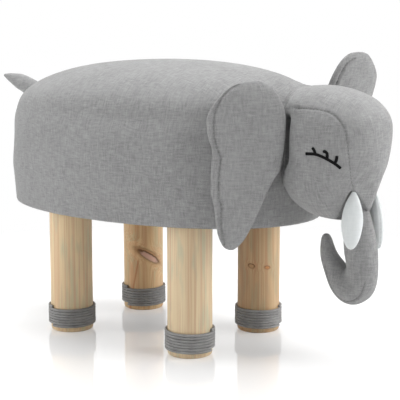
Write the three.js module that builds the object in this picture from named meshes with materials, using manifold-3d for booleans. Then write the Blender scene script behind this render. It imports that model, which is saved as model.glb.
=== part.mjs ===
// Animal footstool: an oval upholstered seat with a stuffed elephant head, on four turned legs.
// Millimetres, +Z up, +X towards the head, the floor at Z = 0.
import * as THREE from 'three';
import { mergeVertices } from 'three/addons/utils/BufferGeometryUtils.js';
import Module from 'manifold-3d';

const wasm = await Module();
wasm.setup();

// Clearances
const gap = 0.3;
const overrun = 8;

// Legs, with the cord wound round each foot
const legDiameter = 45;
const legLength = 133.4;
const legChamfer = 2;
const legInsetX = 100.75;
const legInsetY = 57.1;
const legShiftX = 3;
const cordDiameter = 2.8;
const cordPitch = 2.9;
const cordTurns = 7;
const cordFootHeight = 5;

// Seat: the oval at the bottom rim, the bulging wall and the crown
const seatLength = 363;
const seatWidth = 234;
const seatOvalPower = 2.08;
const wallHeight = 101.4;
const wallBulge = 3.3;
const crownHeight = 53.5;
const crownPower = 2.2;
const crownLean = 10;
const rimRoll = 4;
const fabricThickness = 1.5;
const hemWidth = 20;

// Seat frame and padding
const dustCoverThickness = 0.8;
const dustCoverMargin = 7;
const boardThickness = 12;
const bandThickness = 3;
const sideFoamThickness = 8;
const crownFoamThickness = 44;
const postSize = 32;
const postEdgeRound = 2;
const postInset = 14;

// Leg fastening: a double-ended bolt and a flanged nut for each leg
const boltDiameter = 8;
const boltWoodLength = 30;
const boltNutLength = 28;
const boltChamfer = 1;
const boltPoint = 2;
const nutBarrelDiameter = 10.4;
const nutFlangeDiameter = 22;
const nutFlangeThickness = 1.5;
const nutBarrelLength = 9;

// Head: a ball that tapers to the front, and a neck that saddles on to the seat
const headLength = 103;
const headWidth = 104;
const headHeight = 125;
const headBottom = 144;
const headCentreX = 213;
const neckLength = 90;
const neckRise = 9.5;
const neckDepth = 47;

// Trunk: hangs from under the head, turns under itself and ends in a thin tip
const trunkDiameter = 32;
const trunkFrontX = 259.5;
const trunkBottom = 60.5;
const trunkRootHeight = 150;

// Tusks
const tuskLength = 56;
const tuskWidth = 19.5;
const tuskThickness = 12;
const tuskTopX = 245;
const tuskTopY = 19.5;
const tuskTopHeight = 175;
const tuskSplay = 53;
const tuskLean = 6;
const leftTuskDrop = 5;
const tuskSwing = [0, 25];

// Ears
const earWidth = 72;
const earHeight = 156;
const earThickness = 18;
const earSeamThickness = 2;
const earCrownWidth = 6.5;
const earRootX = 187;
const earRootY = 49.3;
const earRootHeight = 225;
const rightEarSplay = 48;
const rightEarSwing = [0, 60];
const leftEarSplay = 97;
const leftEarRoll = 9;
const leftEarLean = 17;
const leftEarLift = 21;
const leftEarShift = 10;
const leftEarInset = 8;
const leftEarSwing = [-20, 20];

// Tail
const tailLength = 58;
const tailDiameter = 20;
const tailRootRise = 8;
const tailRise = 21;
const tailSwing = [-25, 25];

// Embroidered eye
const stitchWidth = 2;
const stitchHeight = 1;
const eyeCentreX = 227;
const eyeHeight = 207.5;
const eyeLength = 30;

// Facets
const seatSides = 36;
const crownSteps = 7;
const rimSteps = 2;
const headSides = 20;
const softSides = 14;
const trunkSteps = 11;
const tailSteps = 8;
const legSides = 18;
const boltSides = 10;
const windingSides = 5;
const windingStepsPerTurn = 11;
const strokeSteps = 4;
const postEdgeSteps = 2;
const swingSteps = 5;

// Heights and half sizes that follow from the sizes above
const dustCoverBottom = legLength + gap;
const seatBottom = dustCoverBottom + dustCoverThickness + gap;
const shoulderHeight = seatBottom + wallHeight;
const tailRootHeight = shoulderHeight + tailRootRise;
const baseBoardBottom = seatBottom + fabricThickness + gap;
const baseBoardTop = baseBoardBottom + boardThickness;
const foamInset = fabricThickness + gap;
const topBoardTop = shoulderHeight + crownHeight - foamInset - crownFoamThickness - gap;
const topBoardBottom = topBoardTop - boardThickness;
const bandInset = foamInset + sideFoamThickness + gap;
const boardInset = bandInset + bandThickness + gap;
const degrees = THREE.MathUtils.degToRad;

function material(color, roughness, metalness = 0) {
  return new THREE.MeshStandardMaterial({ color, roughness, metalness });
}

const fabric = material(0x9b9c9d, 0.95);
const whiteFabric = material(0xd8dcdb, 0.9);
const blackThread = material(0x141416, 0.7);
const pine = material(0xc9b08a, 0.6);
const cord = material(0x6f706f, 0.9);
const foam = material(0xe6dfc8, 0.95);
const stuffing = material(0xf0f0ee, 1);
const plywood = material(0xc8a878, 0.7);
const board = material(0x8a6b48, 0.8);
const nonwoven = material(0x262626, 0.95);
const zincSteel = material(0xb8bcc0, 0.35, 1);

const stool = new THREE.Group();

// Closed meshes and joins

function signedVolume(points, index) {
  const a = new THREE.Vector3();
  const b = new THREE.Vector3();
  const c = new THREE.Vector3();
  let volume = 0;
  for (let i = 0; i < index.length; i += 3) {
    a.fromArray(points, index[i] * 3);
    b.fromArray(points, index[i + 1] * 3);
    c.fromArray(points, index[i + 2] * 3);
    volume += a.dot(b.cross(c));
  }
  return volume;
}

// Merges the shared vertices, drops empty triangles and turns the faces outward.
function closed(geometry) {
  const bare = geometry.clone();
  bare.deleteAttribute('normal');
  bare.deleteAttribute('uv');
  const merged = mergeVertices(bare);
  const index = merged.index.array;
  const kept = [];
  for (let i = 0; i < index.length; i += 3) {
    const corners = [index[i], index[i + 1], index[i + 2]];
    if (new Set(corners).size === 3) kept.push(...corners);
  }
  if (signedVolume(merged.attributes.position.array, kept) < 0) kept.reverse();
  merged.setIndex(kept);
  return merged;
}

function solid(geometry) {
  const body = closed(geometry);
  return new wasm.Manifold(new wasm.Mesh({
    numProp: 3,
    vertProperties: new Float32Array(body.attributes.position.array),
    triVerts: new Uint32Array(body.index.array),
  }));
}

function surface(manifold) {
  const mesh = manifold.getMesh();
  const geometry = new THREE.BufferGeometry();
  geometry.setAttribute('position', new THREE.BufferAttribute(new Float32Array(mesh.vertProperties), 3));
  geometry.setIndex(new THREE.BufferAttribute(new Uint32Array(mesh.triVerts), 1));
  return geometry;
}

function add(name, geometry, look, parent = stool) {
  const body = closed(geometry);
  body.computeVertexNormals();
  const mesh = new THREE.Mesh(body, look);
  mesh.name = name;
  parent.add(mesh);
  return mesh;
}

// Joins rings of equal count into one skin. Its ends close on poles, or its last ring meets the first.
function loft(rings, { start, end, loop = false } = {}) {
  const count = rings[0].length;
  const points = rings.flat();
  const index = [];
  const links = loop ? rings.length : rings.length - 1;
  for (let r = 0; r < links; r += 1) {
    const next = (r + 1) % rings.length;
    for (let s = 0; s < count; s += 1) {
      const t = (s + 1) % count;
      index.push(r * count + s, r * count + t, next * count + t);
      index.push(r * count + s, next * count + t, next * count + s);
    }
  }
  const middle = (ring) => ring.reduce((sum, p) => sum.add(p), new THREE.Vector3()).divideScalar(count);
  if (!loop) {
    const last = (rings.length - 1) * count;
    points.push(start ?? middle(rings[0]), end ?? middle(rings[rings.length - 1]));
    for (let s = 0; s < count; s += 1) {
      const t = (s + 1) % count;
      index.push(points.length - 2, t, s);
      index.push(points.length - 1, last + s, last + t);
    }
  }
  const geometry = new THREE.BufferGeometry().setFromPoints(points);
  geometry.setIndex(index);
  return geometry;
}

// An oval ring at one height, rounder or squarer than an ellipse by its power.
function oval(halfLength, halfWidth, z, { power = 2, sides = seatSides, x = 0, nose = 0 } = {}) {
  return Array.from({ length: sides }, (_, i) => {
    const turn = (i / sides) * 2 * Math.PI;
    const c = Math.cos(turn);
    const s = Math.sin(turn);
    const along = Math.sign(c) * Math.abs(c) ** (2 / power);
    const across = Math.sign(s) * Math.abs(s) ** (2 / power);
    const taper = 1 - nose * Math.max(c, 0) ** 2;
    return new THREE.Vector3(x + halfLength * along, halfWidth * across * taper, z);
  });
}

function revolve(profile, sides) {
  const points = profile.map(([radius, height]) => new THREE.Vector2(radius, height));
  return new THREE.LatheGeometry(points, sides).rotateX(Math.PI / 2);
}

function rod(radius, bottom, top, sides) {
  return revolve([[0, bottom], [radius, bottom], [radius, top], [0, top]], sides);
}

// A tube whose centre line lies in the XZ plane, with its own half size in and across that plane.
function planarTube(curve, steps, sides, halfSizes) {
  const across = new THREE.Vector3(0, 1, 0);
  const rings = [];
  for (let i = 0; i <= steps; i += 1) {
    const share = i / steps;
    const centre = curve.getPointAt(share);
    const outward = new THREE.Vector3().crossVectors(curve.getTangentAt(share), across);
    const [inPlane, sideways] = halfSizes(share);
    rings.push(Array.from({ length: sides }, (_, s) => {
      const turn = (s / sides) * 2 * Math.PI;
      return centre.clone()
        .addScaledVector(outward, inPlane * Math.cos(turn))
        .addScaledVector(across, sideways * Math.sin(turn));
    }));
  }
  return loft(rings);
}

// Reads rows of [position share, value shares] with straight lines between them.
function along(rows, position) {
  const next = Math.max(rows.findIndex((row) => row[0] >= position), 1);
  const [start, ...from] = rows[next - 1];
  const [end, ...to] = rows[next];
  return from.map((value, i) => value + ((to[i] - value) * (position - start)) / (end - start));
}

// Seat

// The wall from the rim's roll up to the shoulder: rows of [height share, how far it stands out as a share
// of the bulge]. It is fullest below its middle, hollows a little and turns inward at the shoulder.
const wallShares = [[0, 0.12], [0.18, 0.55], [0.38, 1], [0.72, 0.3], [1, -0.85]];

// The seat's outside from the rim up: the share of the oval, the growth beyond it and the height.
function seatStations() {
  const stations = [];
  const [[, rimGrowthShare]] = wallShares;
  const [, shoulderGrowthShare] = wallShares[wallShares.length - 1];
  for (let i = 0; i < rimSteps; i += 1) {
    const turn = (i / rimSteps) * (Math.PI / 2);
    const out = Math.sin(turn);
    const grow = wallBulge * rimGrowthShare * out - rimRoll * (1 - out);
    stations.push({ share: 1, grow, z: rimRoll * (1 - Math.cos(turn)) });
  }
  wallShares.forEach(([up, out]) => {
    stations.push({ share: 1, grow: wallBulge * out, z: rimRoll + (wallHeight - rimRoll) * up });
  });
  for (let i = 1; i < crownSteps; i += 1) {
    const turn = (i / crownSteps) * (Math.PI / 2);
    const share = Math.cos(turn) ** (2 / crownPower);
    const z = wallHeight + crownHeight * Math.sin(turn) ** (2 / crownPower);
    stations.push({ share, grow: wallBulge * shoulderGrowthShare, z });
  }
  return stations;
}

// How far the crown leans to the head at a height above the rim.
function leanAt(z) {
  return (crownLean * Math.max(z - wallHeight, 0)) / crownHeight;
}

// One ring of the seat, moved inward from the outside by inset along the skin's own slope.
function seatRing(stations, i, inset) {
  const before = stations[Math.max(i - 1, 0)];
  const after = stations[Math.min(i + 1, stations.length - 1)];
  const meanHalf = Math.sqrt(seatLength * seatWidth) / 2;
  const reach = ({ share, grow }) => (meanHalf + grow) * share;
  const slope = new THREE.Vector2(after.z - before.z, reach(before) - reach(after)).normalize();
  const { share, grow, z } = stations[i];
  return oval(
    (seatLength / 2 + grow) * share - inset * slope.x,
    (seatWidth / 2 + grow) * share - inset * slope.x,
    seatBottom + z - inset * slope.y,
    { power: seatOvalPower, x: leanAt(z) },
  );
}

function seatSkin(inset) {
  const stations = seatStations();
  return stations.map((_, i) => seatRing(stations, i, inset));
}

function crownPole(inset) {
  return new THREE.Vector3(crownLean, 0, shoulderHeight + crownHeight - inset);
}

// The whole seat as one solid, grown outward by a clearance, to cut what meets it.
function seatBlock(clearance) {
  return solid(loft(seatSkin(-clearance), { end: crownPole(-clearance) }));
}

function seatOval(inset, z) {
  return oval(seatLength / 2 - inset, seatWidth / 2 - inset, z, { power: seatOvalPower });
}

function seatCover() {
  const outside = seatSkin(0);
  const hem = [
    seatOval(hemWidth, seatBottom),
    seatOval(hemWidth, seatBottom + fabricThickness),
  ];
  const inside = seatSkin(fabricThickness).slice(1);
  const bottom = seatOval(rimRoll + fabricThickness, seatBottom + fabricThickness);
  const rings = [...outside.reverse(), ...hem, bottom, ...inside];
  return loft(rings, { start: crownPole(0), end: crownPole(fabricThickness) });
}

// The ring where a stack of rings passes one height.
function ringAt(rings, z) {
  const above = rings.findIndex((ring) => ring[0].z > z);
  const [lower, upper] = [rings[above - 1], rings[above]];
  const share = (z - lower[0].z) / (upper[0].z - lower[0].z);
  return lower.map((p, i) => p.clone().lerp(upper[i], share));
}

// The crown's foam lies on the top board and fills the cover above it.
function crownFoam() {
  const floor = topBoardTop + gap;
  const skin = seatSkin(foamInset);
  const rings = [ringAt(skin, floor), ...skin.filter((ring) => ring[0].z > floor)];
  return loft(rings, { end: crownPole(foamInset) });
}

// The side foam wraps the band from the base board up to the crown foam.
function sideFoam() {
  const skin = seatSkin(foamInset);
  const outer = skin.filter((ring) => ring[0].z > baseBoardBottom + gap && ring[0].z < topBoardTop);
  return loft([
    seatOval(rimRoll + foamInset, baseBoardBottom),
    ...outer,
    ringAt(skin, topBoardTop),
    seatOval(bandInset - gap, topBoardTop),
    seatOval(bandInset - gap, baseBoardBottom),
  ], { loop: true });
}

function sideBand() {
  return loft([
    seatOval(bandInset, baseBoardBottom),
    seatOval(bandInset, topBoardTop),
    seatOval(bandInset + bandThickness, topBoardTop),
    seatOval(bandInset + bandThickness, baseBoardBottom),
  ], { loop: true });
}

function ovalPlate(inset, bottom, thickness) {
  return loft([seatOval(inset, bottom), seatOval(inset, bottom + thickness)]);
}

// Each leg's corner, the angle where its cord ends, and whether the cord climbs to the left or the right.
const legPlaces = [
  { name: 'front_right', x: 1, y: -1, cordEnd: 10, hand: -1 },
  { name: 'front_left', x: 1, y: 1, cordEnd: 12, hand: -1 },
  { name: 'rear_right', x: -1, y: -1, cordEnd: -105, hand: 1 },
  { name: 'rear_left', x: -1, y: 1, cordEnd: -99, hand: 1 },
].map((place) => ({
  ...place,
  x: legShiftX + place.x * (seatLength / 2 - legInsetX),
  y: place.y * (seatWidth / 2 - legInsetY),
}));

// A plate under the seat, drilled at each leg.
function drilled(plate, holeDiameter, bottom, thickness) {
  let body = solid(plate);
  legPlaces.forEach(({ x, y }) => {
    const drill = rod(holeDiameter / 2, bottom - overrun, bottom + thickness + overrun, boltSides);
    body = body.subtract(solid(drill.translate(x, y, 0)));
  });
  return surface(body);
}

function addSeat() {
  add('seat_cover', seatCover(), fabric);
  add('crown_foam', crownFoam(), foam);
  add('side_foam', sideFoam(), foam);
  add('side_band', sideBand(), board);
  add('top_board', ovalPlate(boardInset, topBoardBottom, boardThickness), plywood);
  const base = ovalPlate(boardInset, baseBoardBottom, boardThickness);
  add('base_board', drilled(base, nutBarrelDiameter + 2 * gap, baseBoardBottom, boardThickness), plywood);
  const sheet = ovalPlate(dustCoverMargin, dustCoverBottom, dustCoverThickness);
  add('dust_cover', drilled(sheet, boltDiameter + 2 * gap, dustCoverBottom, dustCoverThickness), nonwoven);
}

// Four posts carry the top board, two on the seat's length and two on its width.
function post() {
  const half = postSize / 2;
  const shape = new THREE.Shape();
  const corners = [[1, 1, 0], [-1, 1, 1], [-1, -1, 2], [1, -1, 3]];
  corners.forEach(([sx, sy, quarter]) => {
    const start = (quarter * Math.PI) / 2;
    const [cx, cy] = [sx * (half - postEdgeRound), sy * (half - postEdgeRound)];
    shape.absarc(cx, cy, postEdgeRound, start, start + Math.PI / 2);
  });
  const depth = topBoardBottom - baseBoardTop - 2 * gap;
  return new THREE.ExtrudeGeometry(shape, { depth, bevelEnabled: false, curveSegments: postEdgeSteps });
}

function addPosts() {
  const reachX = seatLength / 2 - boardInset - postInset - postSize / 2;
  const reachY = seatWidth / 2 - boardInset - postInset - postSize / 2;
  const places = { front: [reachX, 0], rear: [-reachX, 0], right: [0, -reachY], left: [0, reachY] };
  Object.entries(places).forEach(([side, [x, y]]) => {
    add(`frame_post_${side}`, post(), pine).position.set(x, y, baseBoardTop + gap);
  });
}

// Legs

function leg() {
  const radius = legDiameter / 2;
  const pilot = boltDiameter / 2 + gap;
  const pilotBottom = legLength - boltWoodLength - gap;
  return revolve([
    [0, 0],
    [radius - legChamfer, 0],
    [radius, legChamfer],
    [radius, legLength - legChamfer / 2],
    [radius - legChamfer / 2, legLength],
    [pilot, legLength],
    [pilot, pilotBottom],
    [0, pilotBottom],
  ], legSides);
}

function hangerBolt() {
  const radius = boltDiameter / 2;
  const bottom = legLength - boltWoodLength;
  const top = legLength + boltNutLength;
  return revolve([
    [0, bottom],
    [radius - boltChamfer, bottom],
    [radius, bottom + boltPoint],
    [radius, top - boltChamfer],
    [radius - boltChamfer, top],
    [0, top],
  ], boltSides);
}

function flangedNut() {
  const bore = boltDiameter / 2 + gap;
  const flangeBottom = baseBoardTop + gap;
  const flangeTop = flangeBottom + nutFlangeThickness;
  const barrelBottom = flangeTop - nutBarrelLength;
  return revolve([
    [bore, barrelBottom],
    [nutBarrelDiameter / 2, barrelBottom],
    [nutBarrelDiameter / 2, flangeBottom],
    [nutFlangeDiameter / 2, flangeBottom],
    [nutFlangeDiameter / 2, flangeTop],
    [bore, flangeTop],
    [bore, barrelBottom],
  ], boltSides);
}

// The cord climbs the foot in a tight helix and is cut off and glued where its last turn ends.
function windingPath() {
  const radius = (legDiameter / 2 + gap + cordDiameter / 2) / Math.cos(Math.PI / windingStepsPerTurn);
  const bottom = cordFootHeight + cordDiameter / 2;
  return Array.from({ length: cordTurns * windingStepsPerTurn + 1 }, (_, i) => {
    const turns = i / windingStepsPerTurn;
    const turn = turns * 2 * Math.PI;
    return new THREE.Vector3(radius * Math.cos(turn), radius * Math.sin(turn), bottom + turns * cordPitch);
  });
}

// A cord swept along its points, with one ring of facets at each point.
function sweptCord(points, radius, sides) {
  const rings = points.map((point, i) => {
    const before = points[Math.max(i - 1, 0)];
    const after = points[Math.min(i + 1, points.length - 1)];
    const ahead = new THREE.Vector3().subVectors(after, before).normalize();
    const outward = new THREE.Vector3(point.x, point.y, 0).normalize();
    const over = new THREE.Vector3().crossVectors(ahead, outward).normalize();
    outward.crossVectors(over, ahead);
    return Array.from({ length: sides }, (_, s) => {
      const turn = (s / sides) * 2 * Math.PI;
      return point.clone()
        .addScaledVector(outward, radius * Math.cos(turn))
        .addScaledVector(over, radius * Math.sin(turn));
    });
  });
  return loft(rings);
}

function addLegs() {
  legPlaces.forEach(({ name, x, y, cordEnd, hand }) => {
    add(`leg_${name}`, leg(), pine).position.set(x, y, 0);
    add(`hanger_bolt_${name}`, hangerBolt(), zincSteel).position.set(x, y, 0);
    add(`flanged_nut_${name}`, flangedNut(), zincSteel).position.set(x, y, 0);
    const winding = sweptCord(windingPath(), cordDiameter / 2, windingSides).scale(1, hand, 1);
    add(`cord_winding_${name}`, winding.rotateZ(degrees(cordEnd)), cord).position.set(x, y, 0);
  });
}

// Head

// Rows of [height share, centre share, length share, width share, nose share], from the chin up.
const headShares = [
  [0, 0.126, 0.19, 0.23, 0],
  [0.024, 0.085, 0.47, 0.46, 0.3],
  [0.064, 0.04, 0.62, 0.61, 0.45],
  [0.128, 0, 0.76, 0.73, 0.6],
  [0.208, -0.013, 0.855, 0.83, 0.65],
  [0.328, -0.01, 0.935, 0.925, 0.5],
  [0.448, 0.005, 0.98, 0.98, 0.25],
  [0.648, 0.019, 1, 1, 0.05],
  [0.768, 0, 0.97, 0.96, 0],
  [0.864, -0.039, 0.875, 0.85, 0],
  [0.928, -0.078, 0.74, 0.71, 0],
  [0.976, -0.117, 0.525, 0.5, 0],
  [1, -0.146, 0.25, 0.25, 0],
];
const neckShares = [0, 0.16, 0.33, 0.5, 0.67, 0.84, 1];
const neckNarrowShare = 0.68;
const neckFullShare = 0.99;
const neckWidenShare = 0.776;
const neckRisePower = 1.3;

function headBall(inset) {
  const centreHeight = headBottom + headHeight / 2;
  const halfHeight = headHeight / 2;
  const rings = headShares.map(([height, centre, length, width, nose]) => {
    const z = centreHeight + (height * headHeight - halfHeight) * (1 - inset / halfHeight);
    const halfLength = (headLength / 2) * length - inset;
    const halfWidth = (headWidth / 2) * width - inset;
    return oval(halfLength, halfWidth, z, { x: headCentreX + headLength * centre, sides: headSides, nose });
  });
  return loft(rings);
}

function neck(inset) {
  const topAtHead = headBottom + headHeight;
  const rings = neckShares.map((share) => {
    const x = headCentreX - neckLength * (1 - share);
    const top = topAtHead + neckRise * (1 - share) ** neckRisePower;
    const halfHeight = neckDepth + (top - topAtHead);
    const widened = Math.min(share / neckWidenShare, 1);
    const halfWidth = (headWidth / 2) * THREE.MathUtils.lerp(neckNarrowShare, neckFullShare, widened);
    return oval(halfHeight - inset, halfWidth - inset, 0, { sides: headSides })
      .map((p) => new THREE.Vector3(x, p.y, top - halfHeight + p.x));
  });
  return loft(rings);
}

function headBlock(inset) {
  return solid(headBall(inset)).add(solid(neck(inset)));
}

function headCover() {
  return surface(headBlock(0).subtract(headBlock(fabricThickness)).subtract(seatBlock(gap)));
}

function headFilling() {
  return surface(headBlock(fabricThickness + gap).subtract(seatBlock(gap)));
}

// Cuts a swinging piece back from what it hangs on, at rest and through its whole swing.
function clearOf(body, neighbour, pivot, axis, swing) {
  const block = surface(neighbour);
  const step = (swing[1] - swing[0]) / (swingSteps - 1);
  const angles = Array.from({ length: swingSteps }, (_, i) => swing[0] + i * step);
  return [0, ...angles].reduce((rest, angle) => {
    const turn = new THREE.Matrix4().makeRotationAxis(axis, degrees(-angle));
    const moved = block.clone().translate(-pivot.x, -pivot.y, -pivot.z).applyMatrix4(turn);
    return rest.subtract(solid(moved.translate(pivot.x, pivot.y, pivot.z)));
  }, body);
}

// The trunk is two stuffed tubes sewn into one at the turn. Their centre lines are in shares of its half
// width ahead of its axis and of its height. Their sizes are [length share, depth share, width share].
const trunkDropShares = [[-0.5, 1.09], [-0.17, 0.88], [-0.02, 0.6], [0.1, 0.38], [0, 0.25], [-0.3, 0.18]];
const trunkDropSizeShares = [[0, 0.8, 0.8], [0.12, 0.97, 0.9], [0.55, 1, 0.92], [0.75, 0.9, 0.9],
  [0.93, 0.85, 0.85], [1, 0.35, 0.35]];
const trunkCurlShares = [[0.12, 0.36], [-0.12, 0.23], [-0.8, 0.165], [-1.32, 0.22], [-1.95, 0.385],
  [-2.28, 0.537], [-2.48, 0.742]];
const trunkCurlSizeShares = [[0, 0.35, 0.45], [0.1, 0.85, 0.85], [0.25, 0.92, 0.94], [0.38, 0.84, 0.9],
  [0.59, 0.66, 0.72], [0.77, 0.48, 0.52], [0.92, 0.32, 0.35], [1, 0.14, 0.14]];

function trunkTube(placeShares, sizeShares, steps) {
  const half = trunkDiameter / 2;
  const points = placeShares.map(([ahead, up]) => new THREE.Vector3(
    trunkFrontX - half + ahead * half,
    0,
    trunkBottom + up * (trunkRootHeight - trunkBottom),
  ));
  const curve = new THREE.CatmullRomCurve3(points, false, 'centripetal');
  const halfSizes = (share) => along(sizeShares, share).map((size) => size * half);
  return solid(planarTube(curve, steps, softSides, halfSizes));
}

function trunk() {
  const drop = trunkTube(trunkDropShares, trunkDropSizeShares, trunkSteps);
  const curl = trunkTube(trunkCurlShares, trunkCurlSizeShares, trunkSteps);
  return surface(drop.add(curl).subtract(headBlock(-gap)).subtract(seatBlock(gap)));
}

// A tusk is a flattened leaf that hangs from its top point: rows of [width share, height share].
const tuskShares = [[0, 0], [0.45, 0.03], [0.75, 0.12], [0.94, 0.26], [1, 0.42], [0.94, 0.58], [0.77, 0.74],
  [0.5, 0.88], [0.22, 0.97], [0, 1]];

function tusk(side, topHeight) {
  const profile = tuskShares.map(([width, height]) => [(width * tuskWidth) / 2, (height - 1) * tuskLength]);
  const leaf = revolve(profile, softSides);
  leaf.scale(1, tuskThickness / tuskWidth, 1);
  leaf.rotateX(degrees(side * tuskLean));
  leaf.rotateZ(degrees(side * (tuskSplay - 90)));
  const pivot = new THREE.Vector3(tuskTopX, side * tuskTopY, topHeight);
  leaf.translate(...pivot.toArray());
  const across = degrees(side * (tuskSplay - 90));
  const axis = new THREE.Vector3(side * Math.cos(across), side * Math.sin(across), 0);
  return surface(clearOf(solid(leaf), headBlock(-gap), pivot, axis, tuskSwing));
}

// The ear's outline, as shares of its width out from the root and of its height up from the tip.
const earShares = [
  [0.375, 1], [0.17, 0.955], [0.035, 0.86], [0, 0.76], [0.015, 0.61], [0.07, 0.475], [0.25, 0.324],
  [0.37, 0.2], [0.487, 0.096], [0.61, 0.02], [0.7, 0], [0.79, 0.02], [0.84, 0.07], [0.89, 0.2],
  [0.95, 0.36], [0.94, 0.5], [0.93, 0.6], [0.97, 0.67], [1, 0.76], [0.96, 0.84], [0.835, 0.91],
  [0.64, 0.975],
];
const earTipShare = 0.68;
const earCrownSteps = 3;

function ear() {
  const tipDrop = earHeight * earTipShare;
  const outline = earShares.map(([out, up]) => new THREE.Vector2(out * earWidth, up * earHeight - tipDrop));
  const bevel = (earThickness - earSeamThickness) / 2;
  const geometry = new THREE.ExtrudeGeometry(new THREE.Shape(outline), {
    depth: earSeamThickness,
    bevelThickness: bevel,
    bevelSize: earCrownWidth,
    bevelOffset: -earCrownWidth,
    bevelSegments: earCrownSteps,
  });
  return geometry.translate(0, 0, -earSeamThickness / 2).rotateX(Math.PI / 2);
}

function placedEar(side, { splay, roll = 0, lean = 0, shift = 0, inset = 0, lift = 0, swing }) {
  const shape = ear();
  const root = new THREE.Vector3(earRootX - shift, side * (earRootY - inset), earRootHeight + lift);
  const pose = new THREE.Matrix4().makeRotationZ(degrees(side * (180 - splay)))
    .multiply(new THREE.Matrix4().makeRotationX(degrees(side * lean)))
    .multiply(new THREE.Matrix4().makeRotationY(degrees(-roll)));
  const axis = new THREE.Vector3(0, 0, 1).applyMatrix4(pose);
  shape.applyMatrix4(pose).translate(...root.toArray());
  const body = clearOf(solid(shape), headBlock(-gap), root, axis, swing);
  return surface(clearOf(body, seatBlock(gap), root, axis, swing));
}

// The closed eye: an arc of satin stitch with three lashes, lying on the cheek.
const eyeArcShares = [[-0.5, 0.08], [-0.16, 0.08], [0.1, 0], [0.33, -0.16], [0.48, -0.32]];
const lashShares = [
  [[-0.16, 0.08], [-0.26, 0.29]],
  [[0.17, -0.05], [0.18, 0.1], [0.06, 0.2]],
  [[0.37, -0.18], [0.42, 0.05]],
];

function stroke(points) {
  const half = stitchWidth / 2;
  const places = points.map(([x, z]) => new THREE.Vector3(x * eyeLength, 0, z * eyeLength));
  const curve = new THREE.CatmullRomCurve3(places);
  const upper = [];
  const lower = [];
  for (let i = 0; i <= strokeSteps; i += 1) {
    const centre = curve.getPoint(i / strokeSteps);
    const tangent = curve.getTangent(i / strokeSteps);
    upper.push(new THREE.Vector2(centre.x - tangent.z * half, centre.z + tangent.x * half));
    lower.push(new THREE.Vector2(centre.x + tangent.z * half, centre.z - tangent.x * half));
  }
  const shape = new THREE.Shape([...upper, ...lower.reverse()]);
  const prism = new THREE.ExtrudeGeometry(shape, { depth: headWidth / 2, bevelEnabled: false });
  return solid(prism.rotateX(Math.PI / 2));
}

function eye(side) {
  let strokes = stroke(eyeArcShares);
  lashShares.forEach((points) => {
    strokes = strokes.add(stroke(points));
  });
  const placed = closed(surface(strokes)).scale(1, -side, 1).translate(eyeCentreX, 0, eyeHeight);
  const skin = headBlock(-gap - stitchHeight).subtract(headBlock(-gap));
  return surface(solid(placed).intersect(skin));
}

// The tail: a small stuffed leaf that stands up and back from the rear shoulder.
const tailSizeShares = [[0, 0.62], [0.3, 1], [0.6, 0.85], [0.85, 0.5], [1, 0.16]];
const tailPlaceShares = [[-0.1, -0.1], [0.4, 0.5], [1, 1]];

function tail() {
  const rootX = -seatLength / 2;
  const points = tailPlaceShares.map(([back, up]) => new THREE.Vector3(
    rootX - back * tailLength,
    0,
    tailRootHeight + up * tailRise,
  ));
  const curve = new THREE.CatmullRomCurve3(points);
  const half = tailDiameter / 2;
  const tube = planarTube(curve, tailSteps, softSides, (share) => {
    const size = half * along(tailSizeShares, share)[0];
    return [size, size];
  });
  const pivot = new THREE.Vector3(rootX, 0, tailRootHeight);
  return surface(clearOf(solid(tube), seatBlock(gap), pivot, new THREE.Vector3(0, 0, 1), tailSwing));
}

function addHead() {
  add('head_cover', headCover(), fabric);
  add('head_filling', headFilling(), stuffing);
  add('trunk', trunk(), fabric);
  add('ear_right', placedEar(-1, { splay: rightEarSplay, swing: rightEarSwing }), fabric);
  add('ear_left', placedEar(1, {
    splay: leftEarSplay,
    roll: leftEarRoll,
    lean: leftEarLean,
    shift: leftEarShift,
    inset: leftEarInset,
    lift: leftEarLift,
    swing: leftEarSwing,
  }), fabric);
  add('tusk_right', tusk(-1, tuskTopHeight), whiteFabric);
  add('tusk_left', tusk(1, tuskTopHeight - leftTuskDrop), whiteFabric);
  add('eye_embroidery_right', eye(-1), blackThread);
  add('eye_embroidery_left', eye(1), blackThread);
  add('tail', tail(), fabric);
}

addSeat();
addPosts();
addLegs();
addHead();

// The origin is on the floor below the middle of the whole stool.
stool.updateMatrixWorld(true);
const middle = new THREE.Box3().setFromObject(stool).getCenter(new THREE.Vector3());
stool.position.set(-middle.x, -middle.y, 0);

export default stool;
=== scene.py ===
"""Elephant footstool: upholstery, stuffed pieces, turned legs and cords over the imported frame."""
import math

import bpy
import numpy as np
from mathutils import Matrix, Vector
from mathutils.bvhtree import BVHTree
from mathutils.kdtree import KDTree


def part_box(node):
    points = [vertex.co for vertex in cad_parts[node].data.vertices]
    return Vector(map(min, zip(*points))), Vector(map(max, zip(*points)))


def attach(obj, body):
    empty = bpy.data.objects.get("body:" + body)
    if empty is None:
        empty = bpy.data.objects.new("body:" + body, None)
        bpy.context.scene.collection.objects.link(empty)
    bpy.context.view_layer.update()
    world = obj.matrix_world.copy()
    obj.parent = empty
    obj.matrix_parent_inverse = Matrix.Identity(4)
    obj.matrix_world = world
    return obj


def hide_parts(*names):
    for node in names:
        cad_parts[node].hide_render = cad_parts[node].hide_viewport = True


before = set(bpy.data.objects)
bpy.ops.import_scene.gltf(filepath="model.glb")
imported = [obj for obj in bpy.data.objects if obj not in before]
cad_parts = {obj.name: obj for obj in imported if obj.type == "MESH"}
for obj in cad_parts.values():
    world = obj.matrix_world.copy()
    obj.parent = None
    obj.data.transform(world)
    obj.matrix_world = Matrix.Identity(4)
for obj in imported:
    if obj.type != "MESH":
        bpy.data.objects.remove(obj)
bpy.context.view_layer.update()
scene = bpy.context.scene

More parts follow.
